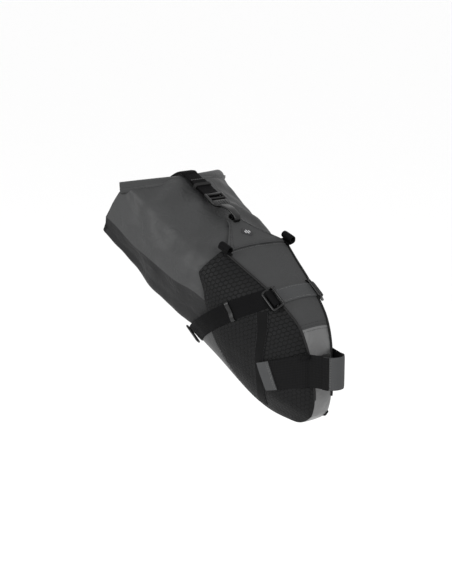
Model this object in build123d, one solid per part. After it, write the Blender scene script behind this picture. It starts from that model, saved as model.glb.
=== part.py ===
from build123d import *
import os
from collections import namedtuple
from functools import cache
from math import cos, hypot, radians, sin

# A seat bag in millimetres. The row frame has its origin on the seatpost's centre line, at the middle of the
# seatpost strap, with +Z up along the post, +X towards the front of the bike and +Y to the left.
# The bag itself is laid out along its own sloping axis: s runs back from the post to the tail, u stands up
# square to s, and y is shared with the row frame.

# Driving dimensions
BAG_SLOPE = radians(36.0)      # how steeply the bag climbs behind the post
RAIL_SLOPE = radians(17.0)     # saddle rails fall forward by this much against the post's square
POST_R = 13.6                  # seatpost of 27.2 mm
RAIL_R = 3.5                   # saddle rail of 7 mm
WALL = 2.0                     # laminated fabric of the holster
DRY_WALL = 1.5                 # coated fabric of the dry bag
WEB_W = 25.0                   # webbing width
WEB_T = 1.6                    # webbing thickness
STRAP_H = 45.0                 # seatpost strap, top to bottom
GAP = 0.4                      # clearance between pieces that move apart

# Inner face of the strap's flap and of its grip, as if on the left: upper and lower row-frame points, from
# the seatpost back. They clear the swelling of the side panel.
FLAP = [
    ((-1.4, 15.0, 22.5), (-1.4, 15.0, -22.5)),
    ((-20, 21.6, 22.5), (-20, 21.6, -22.5)),
    ((-24, 26.2, 22.0), (-24, 25.8, -23.0)),
    ((-30, 31.4, 20.0), (-30, 28.6, -24.5)),
    ((-40, 36.4, 17.0), (-40, 29.4, -27.0)),
    ((-60, 40.8, 10.5), (-60, 34.4, -32.0)),
    ((-79, 45.4, 4.5), (-70, 38.2, -34.5)),
]
GRIP = [((-79.2, 45.5, 4.4), (-70.2, 38.3, -34.6)), ((-90, 48.6, 1), (-80, 42.0, -37))]


# One station of a closed body: its place s, the middle of its top, the top edge, the widest point of the
# side and the floor corner, all for the left half.
Station = namedtuple("Station", "s top edge_y edge_u side_y side_u floor_y floor_u")

HOLSTER = [
    Station(-19, -54, 12, -57, 15, -66, 11, -77),
    Station(-12, -43, 14, -46, 18, -66, 13, -90),
    Station(-2, -29, 15, -33, 21, -64, 15, -98),
    Station(14, -9, 17, -13, 26, -60, 18, -108),
    Station(31, 6, 20, 2, 32, -56, 22, -114),
    Station(51, 21, 23, 17, 39, -52, 26, -118),
    Station(73, 30, 27, 27, 46, -49, 32, -119),
    Station(102, 34, 33, 30, 57, -46, 38, -118),
    Station(131, 35, 39, 30, 68, -44, 44, -116),
    Station(173, 33, 47, 27, 78, -42, 53, -115),
    Station(222, 30, 57, 23, 85, -40, 61, -115),
]

DRYBAG = [
    Station(48, 0, 13, -4, 26, -54, 14, -98),
    Station(75, 13, 20, 10, 41, -50, 25, -111),
    Station(105, 17, 26, 14, 52, -47, 33, -112),
    Station(150, 18, 36, 15, 68, -44, 43, -112),
    Station(205, 18.3, 48, 15, 79, -43, 54, -112),
    Station(235, 18.6, 57, 6, 86, -50, 63, -114),
    Station(265, 18.6, 60, -1, 88, -60, 67, -117),
    Station(300, 14, 63, -5, 90, -68, 71, -118),
    Station(335, 8, 68, -9, 91, -79, 76, -116),
    Station(370, -1, 74, -18, 92, -90, 83, -114),
    Station(398, -16, 80, -32, 92, -94, 86, -112),
]

NOSE_END = 58.0                # seam between the nose band and the woven top panel
TOP_END = 212.0                # rear edge of the top panel
SIDE_REAR = [(212, 40), (212, 24), (211, -12), (189, -27), (166, -50), (158, -62)]
SKIRT_SEAM = [(158, -62), (93, -113), (80, -135)]     # where the bottom panel wraps up the side
BOTTOM_REAR = [(158, -62), (184, -92), (198, -116), (199, -135)]
LOWER_SPLIT = [(-40, -96), (300, -26)]                # above it lies the top strip, below it the bottom
CREASE = [(30, -52), (205, -44), (300, -68), (385, -94), (420, -104)]   # dry bag's lower side seam

BAND_S = (101.0, 125.0)        # grey band across the top between the ladder locks
SIDE_STRAP = [(118, 33), (122, 24), (142, -20), (183, -112)]            # middle line of the side strap
REINFORCE = [(121, 27), (92, -14), (54, -86), (44, -114)]               # middle line of the side strip
LOCK_AT = (113.0, 42.6, 33.4)  # ladder lock: s, y and u of its middle
LOCK_TILT = 37.0               # its roll about the bag's axis, following the shoulder of the bag
RING_AT = (187.0, 62.4, -118.8)  # rectangular ring under the floor's edge
RING_TILT = 140.0
RAIL_AT = (209.0, 57.0, 33.0)  # middle of a rail loop
RAIL_LEN = 20.0
HINGE_S = 371.0                # the tail strap turns over the tail's top edge here
HINGE_U = 9.5
ROLL_END = (400.0, 92.0, -31.0)
ROLL_MID = (371.0, 0.0, -1.5)
LIGHT_LOOP = [(150, -117.6), (156, -131), (170, -143), (182, -146), (191, -137), (196, -117.6)]


def at(s, y, u):
    """The row-frame point of a place in the bag's own layout."""
    return Vector(-s * cos(BAG_SLOPE) + u * sin(BAG_SLOPE), y, s * sin(BAG_SLOPE) + u * cos(BAG_SLOPE))


def half_outline(station, grow):
    """The left half of a cross-section, closed along the bag's middle and set outwards by grow."""
    diagonal = grow * 0.7
    crown = station.top - 0.36 * (station.top - station.edge_u)
    line = [
        (0, station.top + grow),
        (station.edge_y * 0.6, crown + grow),
        (station.edge_y + diagonal, station.edge_u + diagonal),
        (station.side_y + grow, station.side_u),
        (station.floor_y + diagonal, station.floor_u - diagonal),
        (station.floor_y * 0.6, station.floor_u - grow),
        (0, station.floor_u - grow),
    ]
    points = [at(station.s, y, u) for y, u in line]
    curve = Edge.make_spline(points, tangents=[Vector(0, 1, 0), Vector(0, -1, 0)])
    return Wire([curve, Edge.make_line(points[-1], points[0])])


def half_body(stations, grow=0.0):
    """The left half of a closed body, set outwards by grow all round and at both ends."""
    first, last = stations[0], stations[-1]
    ends = [first._replace(s=first.s - grow), *stations[1:-1], last._replace(s=last.s + grow)]
    return Solid.make_loft([half_outline(station, grow) for station in ends])


def whole(half):
    """A left half joined to its twin."""
    return half + flipped(half)


@cache
def holster(grow=0.0):
    """The left half of the holster, set outwards by grow."""
    return half_body(HOLSTER, grow)


@cache
def nose(grow=0.0):
    """The left half of the holster's front end, set outwards by grow."""
    return half_body(HOLSTER[:9], grow)


def side_prism(shape, y0, y1):
    """A prism whose section is a side view, given as (s, u), between two y planes."""
    face = Face(Wire.make_polygon([at(s, y0, u) for s, u in shape], close=True))
    return Solid.extrude(face, Vector(0, y1 - y0, 0))


def plan_prism(shape, u0=-160.0, u1=80.0):
    """A prism whose section is a plan view, given as (s, y), between two u levels."""
    face = Face(Wire.make_polygon([at(s, y, u0) for s, y in shape], close=True))
    return Solid.extrude(face, at(0, 0, u1) - at(0, 0, u0))


def strip_shape(line, width):
    """The outline of a strip of one width along a bent middle line."""
    one, other = [], []
    for i, (a, b) in enumerate(line):
        before, after = line[max(i - 1, 0)], line[min(i + 1, len(line) - 1)]
        da, db = after[0] - before[0], after[1] - before[1]
        k = width / 2 / hypot(da, db)
        one.append((a - db * k, b + da * k))
        other.append((a + db * k, b - da * k))
    return one + other[::-1]


def ribbon(line, thickness, y0, y1):
    """Webbing that follows a line of the side view, from y0 to y1."""
    return side_prism(strip_shape(line, thickness), y0, y1)


def plan_band(widen=0.0, s0=-40.0, s1=240.0):
    """The plan outline of the top strip: its edges follow the holster's top edge."""
    inner = [st for st in HOLSTER if s0 < st.s < s1]
    places = [s0, *[st.s for st in inner], s1]
    halves = [edge_at(s, "edge_y") + widen for s in places]
    return list(zip(places, halves)) + [(s, -y) for s, y in zip(places[::-1], halves[::-1])]


def edge_at(s, name):
    """A holster measure at any s, straight between its stations."""
    for a, b in zip(HOLSTER, HOLSTER[1:]):
        if s <= b.s:
            break
    t = min(max((s - a.s) / (b.s - a.s), 0.0), 1.0)
    return getattr(a, name) * (1 - t) + getattr(b, name) * t


def largest(shape):
    """The largest solid of a result, so that a piece stays one solid."""
    return max(shape.solids(), key=lambda solid: solid.volume)


def flipped(shape):
    """The same piece on the other side of the bag."""
    return mirror(shape, about=Plane.XZ)


def local(s, y, u, roll=0.0):
    """A place on the bag with x back along the bag, y to the right and z up, rolled about the bag's axis."""
    back, up = at(1, 0, 0), at(0, 0, 1)
    plane = Plane(origin=at(s, y, u), x_dir=back, z_dir=up)
    return plane.location * Location((0, 0, 0), (roll, 0, 0))


def above_split(s0, s1):
    """Everything over the line that parts the top strip from the bottom strip."""
    return side_prism([*LOWER_SPLIT, (300, 90), (-40, 90)], -150, 150) & plan_prism(
        [(s0, -150), (s1, -150), (s1, 150), (s0, 150)])


def holster_panels():
    """The five fabric panels of the holster."""
    rear_cut = side_prism([(260, 40), *SIDE_REAR, *BOTTOM_REAR[1:], (260, -135)], -1, 150)
    shell = largest(holster() - holster(-WALL) - rear_cut)
    strip = plan_prism(plan_band())
    nose_band = largest(shell & strip & above_split(-60, NOSE_END))
    top = largest(shell & strip & above_split(NOSE_END, TOP_END))
    floor_half = [(-40, 8), *[(st.s, st.floor_y) for st in HOLSTER], (240, 64)]
    floor_plan = floor_half + [(s, -y) for s, y in reversed(floor_half)]
    below = side_prism([*LOWER_SPLIT, (300, -150), (-40, -150)], -1, 150)
    skirt = side_prism([*SKIRT_SEAM, (80, -150), (260, -150), (260, -62)], -1, 150)
    bottom = largest((shell & plan_prism(floor_plan) & below) + (shell & skirt))
    side = largest(shell - bottom - nose_band - top)
    return with_mirrors({
        "holster_top_panel": whole(top),
        "holster_nose_band": whole(nose_band),
        "holster_bottom_panel": whole(bottom),
        "holster_side_panel_left": side,
    })


def nose_stiffener():
    """A moulded sheet that lines the nose and keeps the seatpost strap from folding it."""
    front = plan_prism([(-40, -60), (44, -60), (44, 60), (-40, 60)])
    lining = half_body(HOLSTER[:7], -WALL - 0.2) - half_body(HOLSTER[:7], -WALL - 1.6)
    return whole(largest(lining & front & above_split(-60, 44)))


def holster_trim():
    """Webbing, piping and bands that lie on the holster's panels."""
    web = holster(WEB_T) - holster()
    thin = holster(0.9) - holster()
    lock_room = local(*LOCK_AT, LOCK_TILT) * Box(38, 27, 16)
    ring_room = local(*RING_AT, RING_TILT) * Box(34, 16, 10)
    strap_shape = side_prism(strip_shape(SIDE_STRAP, WEB_W), 36, 150)
    reinforce_shape = side_prism(strip_shape(REINFORCE, 15.0), 12, 150)
    band = plan_prism([(BAND_S[0], -1), (BAND_S[1], -1), (BAND_S[1], 33.5), (BAND_S[0], 33.5)])
    band_room = plan_prism([(BAND_S[0] - 1, 20), (BAND_S[1] + 1, 20), (BAND_S[1] + 1, 60), (BAND_S[0] - 1, 60)])
    strap_room = Pos(-35, 0, 0) * Box(60, 120, STRAP_H + 5)
    above = above_split(-60, TOP_END)
    piping_line = plan_prism(plan_band(1.4, -40, TOP_END)) - plan_prism(plan_band(-1.4, -40, TOP_END))
    left_half = plan_prism([(-60, 4), (260, 4), (260, 150), (-60, 150)])
    piping = (web & piping_line & above & left_half) - band_room - strap_room - strap_shape
    below = side_prism([*LOWER_SPLIT, (300, -150), (-40, -150)], -1, 150)
    floor_band = plan_prism([(174, -1), (197, -1), (197, 70), (174, 70)])
    bottom_web = whole(largest((web & below & floor_band) - ring_room))
    keeper = (holster(WEB_T + 1.6) - holster(WEB_T + 0.2)) & side_prism(
        strip_shape([(139.5, -15), (144.5, -25)], WEB_W + 5), 20, 150)
    return with_mirrors({
        "cross_band": whole(largest((web & band & above) - lock_room)),
        "bottom_web": largest(bottom_web - light_loop() - strap_shape - flipped(strap_shape)),
        "piping_left": Compound(children=[length for length in piping.solids() if length.volume > 20]),
        "compression_strap_left": largest((web & strap_shape) - lock_room - ring_room),
        "side_reinforcement_left": largest((thin & reinforce_shape) - strap_shape - lock_room - piping_line),
        "strap_keeper_left": largest(keeper),
    })


def with_mirrors(pieces):
    """Add the right-hand twin of every left-hand piece."""
    left = {name: shape for name, shape in pieces.items() if "_left" in name}
    return {**pieces, **{name.replace("_left", "_right"): flipped(shape) for name, shape in left.items()}}


def window_plate(length, width, thickness, windows, corner=2.0):
    """A moulded plate with windows, given as (length, width, place across)."""
    plate = extrude(RectangleRounded(length, width, corner), thickness / 2, both=True)
    for window_length, window_width, across in windows:
        plate -= Pos(0, across, 0) * Box(window_length, window_width, thickness * 2)
    return largest(plate)


def ladder_lock():
    """A ladder-lock buckle and the head of the side strap threaded through it, both on the left."""
    place = local(*LOCK_AT, LOCK_TILT)
    lock = place * window_plate(34, 20, 4, [(27, 5.5, 4.25), (27, 5.5, -4.25)])
    path = [(-13.0, -2.9), (-6.0, -2.9), (-3.1, 2.9), (1.6, 2.9), (4.4, -0.6)]
    section = Wire.make_polygon([Vector(-WEB_W / 2, a, b) for a, b in strip_shape(path, 1.2)], close=True)
    head = place * Solid.extrude(Face(section), Vector(WEB_W, 0, 0))
    return with_mirrors({"ladder_lock_left": lock, "lock_webbing_left": largest(head)})


def bottom_rings():
    """Rectangular rings where the side straps meet the web under the floor."""
    ring = local(*RING_AT, RING_TILT) * window_plate(31, 13, 3, [(26, 7, 0)])
    return with_mirrors({"bottom_ring_left": ring})


def light_loop():
    """A webbing loop under the floor for a rear light."""
    return ribbon(LIGHT_LOOP, WEB_T, -WEB_W / 2, WEB_W / 2)


def tongue():
    """The tapered tongue behind the top panel, its hook loop and the badge."""
    line = [(TOP_END + 0.5, 28.0), (238, 24.6), (264, 20.8)]
    half = [(212, 49), (222, 42), (240, 27), (256, 15), (265, 12)]
    plan = plan_prism(half + [(s, -y) for s, y in half[::-1]])
    plate = ribbon(line, WEB_T, -60, 60) & plan
    eye = side_prism([(262, 21.8), (271, 21.8), (271, 29), (262, 29)], -6, 6)
    eye -= side_prism([(263.5, 23.3), (269.5, 23.3), (269.5, 27.5), (263.5, 27.5)], -8, 8)
    badge_plan = [(223, -6), (228, -10), (238, -10), (243, -6), (243, 6), (238, 10), (228, 10), (223, 6)]
    badge_line = [(222, 28.25), (238, 26.1), (244, 25.2)]
    badge = ribbon(badge_line, 1.0, -20, 20) & plan_prism(badge_plan)
    return {"tongue": largest(plate), "tongue_loop": largest(eye), "badge_patch": largest(badge)}


def rail_straps():
    """The hook-and-loop straps at the top corners that hold the saddle rails."""
    axis = Vector(cos(RAIL_SLOPE), 0, -sin(RAIL_SLOPE))
    frame = Plane(origin=at(*RAIL_AT), x_dir=(0, 1, 0), z_dir=axis).location
    bore, outside = RAIL_R + 0.1, RAIL_R + 0.1 + WEB_T
    ring = Cylinder(outside, RAIL_LEN) - Cylinder(bore, RAIL_LEN + 2)
    lower = ring & Pos(0, -20 - GAP / 2, 0) * Box(60, 40, 60)
    upper = ring & Pos(0, 20 + GAP / 2, 0) * Box(60, 40, 60)
    tab = Pos(-2.5, -7.0, 0) * Box(5, 5, RAIL_LEN) - Cylinder(bore + 0.5, RAIL_LEN + 2)
    base = frame * (lower + tab) - holster(0.05)
    return with_mirrors({"rail_strap_left": largest(base), "rail_flap_left": largest(frame * upper)})


def upright(points, height):
    """A vertical prism about the strap's middle height whose plan view is given in row X and Y."""
    face = Face(Wire.make_polygon([Vector(x, y, -height / 2) for x, y in points], close=True))
    return Solid.extrude(face, Vector(0, 0, height))


def side_view_prism(points, y0, y1):
    """A prism along y whose section is given in row X and Z."""
    face = Face(Wire.make_polygon([Vector(x, y0, z) for x, z in points], close=True))
    return Solid.extrude(face, Vector(0, y1 - y0, 0))


def ruled_strip(lines, thickness):
    """A strip whose inner face passes through upright lines, each an upper and a lower row-frame point."""
    sections = []
    for upper, lower in lines:
        out = [(x, y + thickness, z) for x, y, z in (lower, upper)]
        sections.append(Wire.make_polygon([Vector(*p) for p in (upper, lower, *out)], close=True))
    return Solid.make_loft(sections, True)


def seatpost_strap():
    """The strap round the seatpost: two layers in front, a flap on the right and its anchor on the left."""
    front = Pos(50 - 1.0, 0, 0) * Box(100, 100, 80)
    inner_r, mid_r, outer_r = POST_R, POST_R + 1.5, POST_R + 3.0
    inner = (Cylinder(mid_r, STRAP_H + 3) - Cylinder(inner_r, STRAP_H + 5)) & front
    outer = (Cylinder(outer_r, STRAP_H - 1) - Cylinder(mid_r + 0.05, STRAP_H + 5)) & front
    lead = upright([(-1.5, 14.2), (-1.5, 15.8), (-24, 22.6), (-24, 20.4)], STRAP_H) - nose(0.05)
    anchor_shape = [(-22, 22.5), (-22, -22.5), (-60, -31), (-64, 10)]
    anchor = ((nose(WEB_T) - nose()) & side_view_prism(anchor_shape, 5, 90)) + lead
    flap = flipped(ruled_strip(FLAP, WEB_T))
    grip = flipped(ruled_strip(GRIP, WEB_T))
    pad = Pos(-15.6, 5, 0) * Box(3.6, 10, 40) - Cylinder(POST_R, 60) - nose(0.05)
    return {
        "seatpost_strap_inner": largest(inner),
        "seatpost_strap_outer": largest(outer),
        "seatpost_strap_anchor": largest(anchor),
        "seatpost_pad": whole(largest(pad)),
        "seatpost_strap_flap": largest(flap),
        "seatpost_grip_tab": largest(grip),
    }


def roll_section(scale=1.0):
    """The rolled mouth: an oval tube along a drooping arc across the tail."""
    ends = at(*ROLL_END), at(ROLL_END[0], -ROLL_END[1], ROLL_END[2])
    arc = Edge.make_three_point_arc(ends[0], at(*ROLL_MID), ends[1])
    start = Plane(origin=arc @ 0, z_dir=arc % 0, x_dir=at(1, 0, 0))
    return largest(sweep(start * Ellipse(11.0 * scale, 7.6 * scale), path=arc))


def dry_bag():
    """The dry bag: upper and lower fabric shells, the rolled mouth with its stiffener, and the rear strap."""
    roll = roll_section()
    stiffener = roll_section(0.45)
    shell = largest(half_body(DRYBAG) - half_body(DRYBAG, -DRY_WALL) - roll)
    lower_room = side_prism([*CREASE, (420, -200), (30, -200)], -1, 150)
    rear_line = [(376.0, 8.0), (388, 3.0), (399.8, -12.0), (401.0, -60.0)]
    rear_half = ribbon(rear_line, WEB_T, 0, WEB_W / 2) - roll - half_body(DRYBAG, 0.05)
    return {
        "drybag_upper_shell": whole(largest(shell - lower_room)),
        "drybag_lower_shell": whole(largest(shell & lower_room)),
        "mouth_roll": largest(roll - stiffener),
        "roll_stiffener": stiffener,
        "rear_strap": whole(largest(rear_half)),
    }


def tail_strap():
    """The strap that turns over the tail: its webbing, free end, keeper and hook."""
    half = WEB_W / 2
    web = ribbon([(HINGE_S - 1.5, HINGE_U), (350, 11.4), (318, 16.0)], WEB_T, -half, half)
    end = ribbon([(356, 13.2), (350, 13.8), (322, 17.8)], WEB_T, -half, half)
    keeper = ribbon([(346, 12.9), (340, 13.8)], 7.6, -half - 1.8, half + 1.8)
    keeper -= ribbon([(348, 12.6), (338, 14.1)], 5.2, -half - 0.3, half + 0.3)
    frame = local(305, 0, 21.4) * Location((0, 0, 0), (0, 7.5, 0))
    plate = frame * window_plate(30, 32, 4.6, [], 5.0)
    plate -= frame * Pos(7.5, 0, 0) * Box(5.5, 26, 12)
    plate -= frame * Pos(-1.0, 0, 0) * Box(4.5, 26, 12)
    neck = side_prism([(292, 21.4), (292, 25.6), (276, 31.5), (256, 33.2), (256, 23.2), (260.4, 23.2),
                       (260.4, 29.6), (274, 29.4)], -5.5, 5.5)
    return {
        "tail_strap_web": largest(web),
        "tail_strap_end": largest(end),
        "tail_strap_keeper": largest(keeper),
        "tail_hook": largest(plate + neck),
    }


def main():
    """Build every piece and write one STEP file for each."""
    os.makedirs("parts", exist_ok=True)
    pieces = {
        **holster_panels(),
        "nose_stiffener": nose_stiffener(),
        **holster_trim(),
        **ladder_lock(),
        **bottom_rings(),
        "light_loop": light_loop(),
        **tongue(),
        **rail_straps(),
        **seatpost_strap(),
        **dry_bag(),
        **tail_strap(),
    }
    for name, shape in pieces.items():
        export_step(shape, f"parts/{name}.step")
        print(f"{name:28s} {len(shape.solids())} solid(s) {shape.volume / 1000:8.2f} cm3")


main()
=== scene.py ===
import logging
import math
from dataclasses import dataclass
from enum import Enum
from typing import Iterable, Sequence

import bpy
import numpy as np
from mathutils import Matrix, Vector, noise
from mathutils.bvhtree import BVHTree


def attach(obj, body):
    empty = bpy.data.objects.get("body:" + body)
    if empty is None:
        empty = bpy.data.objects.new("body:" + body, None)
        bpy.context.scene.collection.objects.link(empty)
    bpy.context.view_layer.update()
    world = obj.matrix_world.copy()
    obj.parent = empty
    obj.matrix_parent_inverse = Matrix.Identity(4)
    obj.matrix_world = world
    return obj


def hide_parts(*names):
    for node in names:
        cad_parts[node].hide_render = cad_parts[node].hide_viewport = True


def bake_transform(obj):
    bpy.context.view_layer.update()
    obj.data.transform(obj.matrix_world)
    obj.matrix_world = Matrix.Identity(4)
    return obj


# A seat bag. Shapes are laid out along the bag's own slope in millimetres: s runs back from the seatpost to
# the tail, y is left, and u stands up square to s. row() turns such places into the frame's metres.

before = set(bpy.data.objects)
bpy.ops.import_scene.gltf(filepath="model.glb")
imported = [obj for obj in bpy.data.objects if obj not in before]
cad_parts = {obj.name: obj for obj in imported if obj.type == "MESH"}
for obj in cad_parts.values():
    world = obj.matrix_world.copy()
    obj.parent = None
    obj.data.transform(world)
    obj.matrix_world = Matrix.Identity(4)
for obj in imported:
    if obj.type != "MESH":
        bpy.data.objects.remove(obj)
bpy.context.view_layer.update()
LOG = logging.getLogger("seat_bag")

SLOPE = math.radians(36.0)
RAIL_SLOPE = math.radians(17.0)
MM = 0.001
LEFT, RIGHT = 1.0, -1.0
SIDES = ((LEFT, "left"), (RIGHT, "right"))
POST_RADIUS = 13.6
WEB_WIDTH = 25.0
WEB_THICK = 1.6


# ---------------------------------------------------------------------------------------------- geometry


def row(points: Sequence) -> np.ndarray:
    """Turns places on the bag into the frame.

    Args:
        points: Places (s, y, u) in millimetres, in an array of any depth.

    Returns:
        The same places as frame metres.
    """
    p = np.asarray(points, float)
    s, y, u = p[..., 0], p[..., 1], p[..., 2]
    across = -s * math.cos(SLOPE) + u * math.sin(SLOPE)
    return np.stack([across, y, s * math.sin(SLOPE) + u * math.cos(SLOPE)], -1) * MM


def smooth(points: Sequence, count: int) -> np.ndarray:
    """Runs a smooth curve through points along the first axis.

    Args:
        points: Control rows of any shape.
        count: How many rows to return.

    Returns:
        Evenly spread rows on a Catmull-Rom curve.
    """
    p = np.asarray(points, float)
    p = np.concatenate([[2 * p[0] - p[1]], p, [2 * p[-1] - p[-2]]])
    t = np.linspace(0, len(p) - 3, count)
    i = np.minimum(t.astype(int), len(p) - 4)
    f = (t - i).reshape((-1,) + (1,) * (p.ndim - 1))
    a, b, c, d = p[i], p[i + 1], p[i + 2], p[i + 3]
    return 0.5 * (2 * b + (c - a) * f + (2 * a - 5 * b + 4 * c - d) * f**2 + (3 * b - a - 3 * c + d) * f**3)


def even(points: Sequence, count: int) -> np.ndarray:
    """Spreads a line's points evenly along its length.

    Args:
        points: A line of points.
        count: How many points to return.

    Returns:
        Points at equal steps along the line.
    """
    p = np.asarray(points, float)
    run = np.concatenate([[0], np.cumsum(np.linalg.norm(np.diff(p, axis=0), axis=1))])
    at = np.linspace(0, run[-1], count)
    return np.stack([np.interp(at, run, p[:, k]) for k in range(p.shape[1])], -1)


def mix(a: np.ndarray, b: np.ndarray, t: np.ndarray | float) -> np.ndarray:
    """Goes from a to b as t goes from 0 to 1."""
    return a + (b - a) * t


def unit(v: np.ndarray) -> np.ndarray:
    """Gives vectors a length of one."""
    return v / np.maximum(np.linalg.norm(v, axis=-1, keepdims=True), 1e-12)


def bump_at(x: np.ndarray, centre: float, spread: float) -> np.ndarray:
    """A smooth bump of height one about a centre."""
    return np.exp(-(((x - centre) / spread) ** 2))


def line_distance(points: np.ndarray, line: Sequence) -> np.ndarray:
    """Distance of flat points from a bent line.

    Args:
        points: Flat points, in an array of any depth.
        line: The line's corners.

    Returns:
        The distance of each point from the nearest stretch.
    """
    best = np.full(points.shape[:-1], np.inf)
    for a, b in zip(np.asarray(line[:-1], float), np.asarray(line[1:], float)):
        along = b - a
        t = np.clip(((points - a) @ along) / (along @ along), 0, 1)
        best = np.minimum(best, np.linalg.norm(points - a - t[..., None] * along, axis=-1))
    return best


def ripple(points: np.ndarray, size: float, seed: float = 0.0) -> np.ndarray:
    """Smooth repeatable unevenness.

    Args:
        points: Places (s, y, u) in millimetres.
        size: The size of the waves in millimetres.
        seed: A shift that gives another pattern.

    Returns:
        Values from about -1 to 1, one for each place.
    """
    flat = points.reshape(-1, 3) / size + seed
    return np.array([noise.noise(Vector(p)) for p in flat]).reshape(points.shape[:-1]) * 1.6


def normals_of(grid: np.ndarray, outward: Sequence | None = None) -> np.ndarray:
    """Surface directions of a grid.

    Args:
        grid: A grid of points.
        outward: A direction that the grid's middle should face, or None.

    Returns:
        One unit vector for each point.
    """
    along = np.gradient(grid, axis=0)
    across = np.gradient(grid, axis=1)
    n = unit(np.cross(along, across))
    bare = np.linalg.norm(np.cross(along, across), axis=-1) < 1e-12
    if bare.any():
        n[bare] = unit(n[~bare].mean(0))
    if outward is not None and n.reshape(-1, 3).mean(0) @ np.asarray(outward, float) < 0:
        n = -n
    return n


def cloth_map(grid: np.ndarray) -> np.ndarray:
    """Lays a grid out flat by its lengths, in metres.

    Args:
        grid: A grid of points.

    Returns:
        Two flat coordinates for each point.
    """
    down = np.linalg.norm(np.diff(grid[:, grid.shape[1] // 2], axis=0), axis=-1)
    across = np.linalg.norm(np.diff(grid, axis=1), axis=-1)
    x = np.concatenate([np.zeros((grid.shape[0], 1)), np.cumsum(across, 1)], 1)
    y = np.concatenate([[0], np.cumsum(down)])
    return np.stack([x - x[:, -1:] / 2, np.broadcast_to(y[:, None], x.shape)], -1)


class Skin:
    """A surface that other pieces lie on."""

    def __init__(self, grids: Iterable[np.ndarray]) -> None:
        """Gathers grids of frame points into one surface to lay things on.

        Args:
            grids: Grids of points in metres.
        """
        verts, faces = [], []
        for grid in grids:
            rows, cols = grid.shape[:2]
            base = len(verts)
            verts += [Vector(p) for p in grid.reshape(-1, 3)]
            for i in range(rows - 1):
                for j in range(cols - 1):
                    k = base + i * cols + j
                    faces.append((k, k + 1, k + cols + 1, k + cols))
        self.tree = BVHTree.FromPolygons(verts, faces)

    def lay(self, points: np.ndarray, towards: Sequence) -> tuple[np.ndarray, np.ndarray]:
        """Drops a grid on the surface.

        Args:
            points: A grid of frame points.
            towards: The direction in which they drop.

        Returns:
            The points on the surface, and its outward directions there.
        """
        way = Vector(towards).normalized()
        places, faces_out = np.empty_like(points), np.empty_like(points)
        for index in np.ndindex(points.shape[:-1]):
            start = Vector(points[index]) - way * 0.3
            place, out, _, _ = self.tree.ray_cast(start, way)
            if place is None:
                place, out, _, _ = self.tree.find_nearest(Vector(points[index]))
            places[index] = place
            faces_out[index] = out if out.dot(way) < 0 else -out
        return places, faces_out


def finish_mesh(name: str, verts: np.ndarray, faces: list, flat: list,
                material: bpy.types.Material) -> bpy.types.Object:
    """Makes a shaded object with its flat cloth layout.

    Args:
        name: The piece's name.
        verts: Points in metres.
        faces: Corner numbers of each face.
        flat: For each face corner, its place on the flat cloth.
        material: The piece's finish.

    Returns:
        The new object.
    """
    mesh = bpy.data.meshes.new(name)
    mesh.from_pydata([tuple(v) for v in verts], [], faces)
    layer = mesh.uv_layers.new(name="cloth")
    layer.data.foreach_set("uv", np.asarray(flat, np.float32).ravel())
    mesh.polygons.foreach_set("use_smooth", [True] * len(faces))
    mesh.materials.append(material)
    mesh.update()
    mesh.set_sharp_from_angle(angle=math.radians(50))
    obj = bpy.data.objects.new(name, mesh)
    bpy.context.scene.collection.objects.link(obj)
    return obj


def ring_mesh(name: str, rings: np.ndarray, material: bpy.types.Material, looped: bool = False,
              flat: np.ndarray | None = None, strip: bool = False) -> bpy.types.Object:
    """A solid from closed rings, capped at its ends unless it is looped.

    Args:
        name: The piece's name.
        rings: Points by ring and place in the ring, in metres.
        material: The piece's finish.
        looped: Whether the last ring joins the first.
        flat: A flat layout by ring and place, one place more than the ring has, or None.
        strip: Whether a ring runs out along one face and back along the other, so its caps are rows of quads.

    Returns:
        The new object.
    """
    rows, cols = rings.shape[:2]
    if flat is None:
        flat = cloth_map(np.concatenate([rings, rings[:, :1]], 1))
    faces, corners = [], []
    for i in range(rows if looped else rows - 1):
        k = (i + 1) % rows
        for j in range(cols):
            m = (j + 1) % cols
            faces.append((i * cols + j, i * cols + m, k * cols + m, k * cols + j))
            corners += [flat[i, j], flat[i, j + 1], flat[k if k else i, j + 1], flat[k if k else i, j]]
    if strip:
        for j in range(cols // 2 - 1):
            for first, turn in ((0, -1), ((rows - 1) * cols, 1)):
                cap = (j, j + 1, cols - 2 - j, cols - 1 - j)[::turn]
                faces.append(tuple(first + c for c in cap))
                corners += [flat[-1 if first else 0, c] for c in cap]
    elif not looped:
        faces += [tuple(range(cols))[::-1], tuple((rows - 1) * cols + j for j in range(cols))]
        corners += [flat[0, j] for j in range(cols)][::-1] + [flat[-1, j] for j in range(cols)]
    return finish_mesh(name, rings.reshape(-1, 3), faces, corners, material)


def thick_sheet(name: str, grid: np.ndarray, out: np.ndarray, material: bpy.types.Material, thick: float,
                lift: float = 0.0, flat: np.ndarray | None = None, soft: float = 0.3) -> bpy.types.Object:
    """A sheet of cloth or webbing with a real thickness and soft edges.

    Args:
        name: The piece's name.
        grid: The surface it lies on, in metres.
        out: The outward direction at each point.
        material: The piece's finish.
        thick: Thickness in millimetres.
        lift: Gap under the sheet in millimetres.
        flat: A flat layout of the grid, or None.
        soft: How much thinner the long edges are, from 0 to 1.

    Returns:
        The new object.
    """
    cols = grid.shape[1]
    edge = np.abs(np.linspace(-1, 1, cols)) ** 10
    top = grid + out * ((lift + thick * (1 - soft * edge)) * MM)[None, :, None]
    low = grid + out * (lift * MM)
    flat = cloth_map(grid) if flat is None else flat
    loop = np.concatenate([flat, flat[:, ::-1], flat[:, :1]], 1)
    return ring_mesh(name, np.concatenate([top, low[:, ::-1]], 1), material, flat=loop, strip=True)


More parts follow.
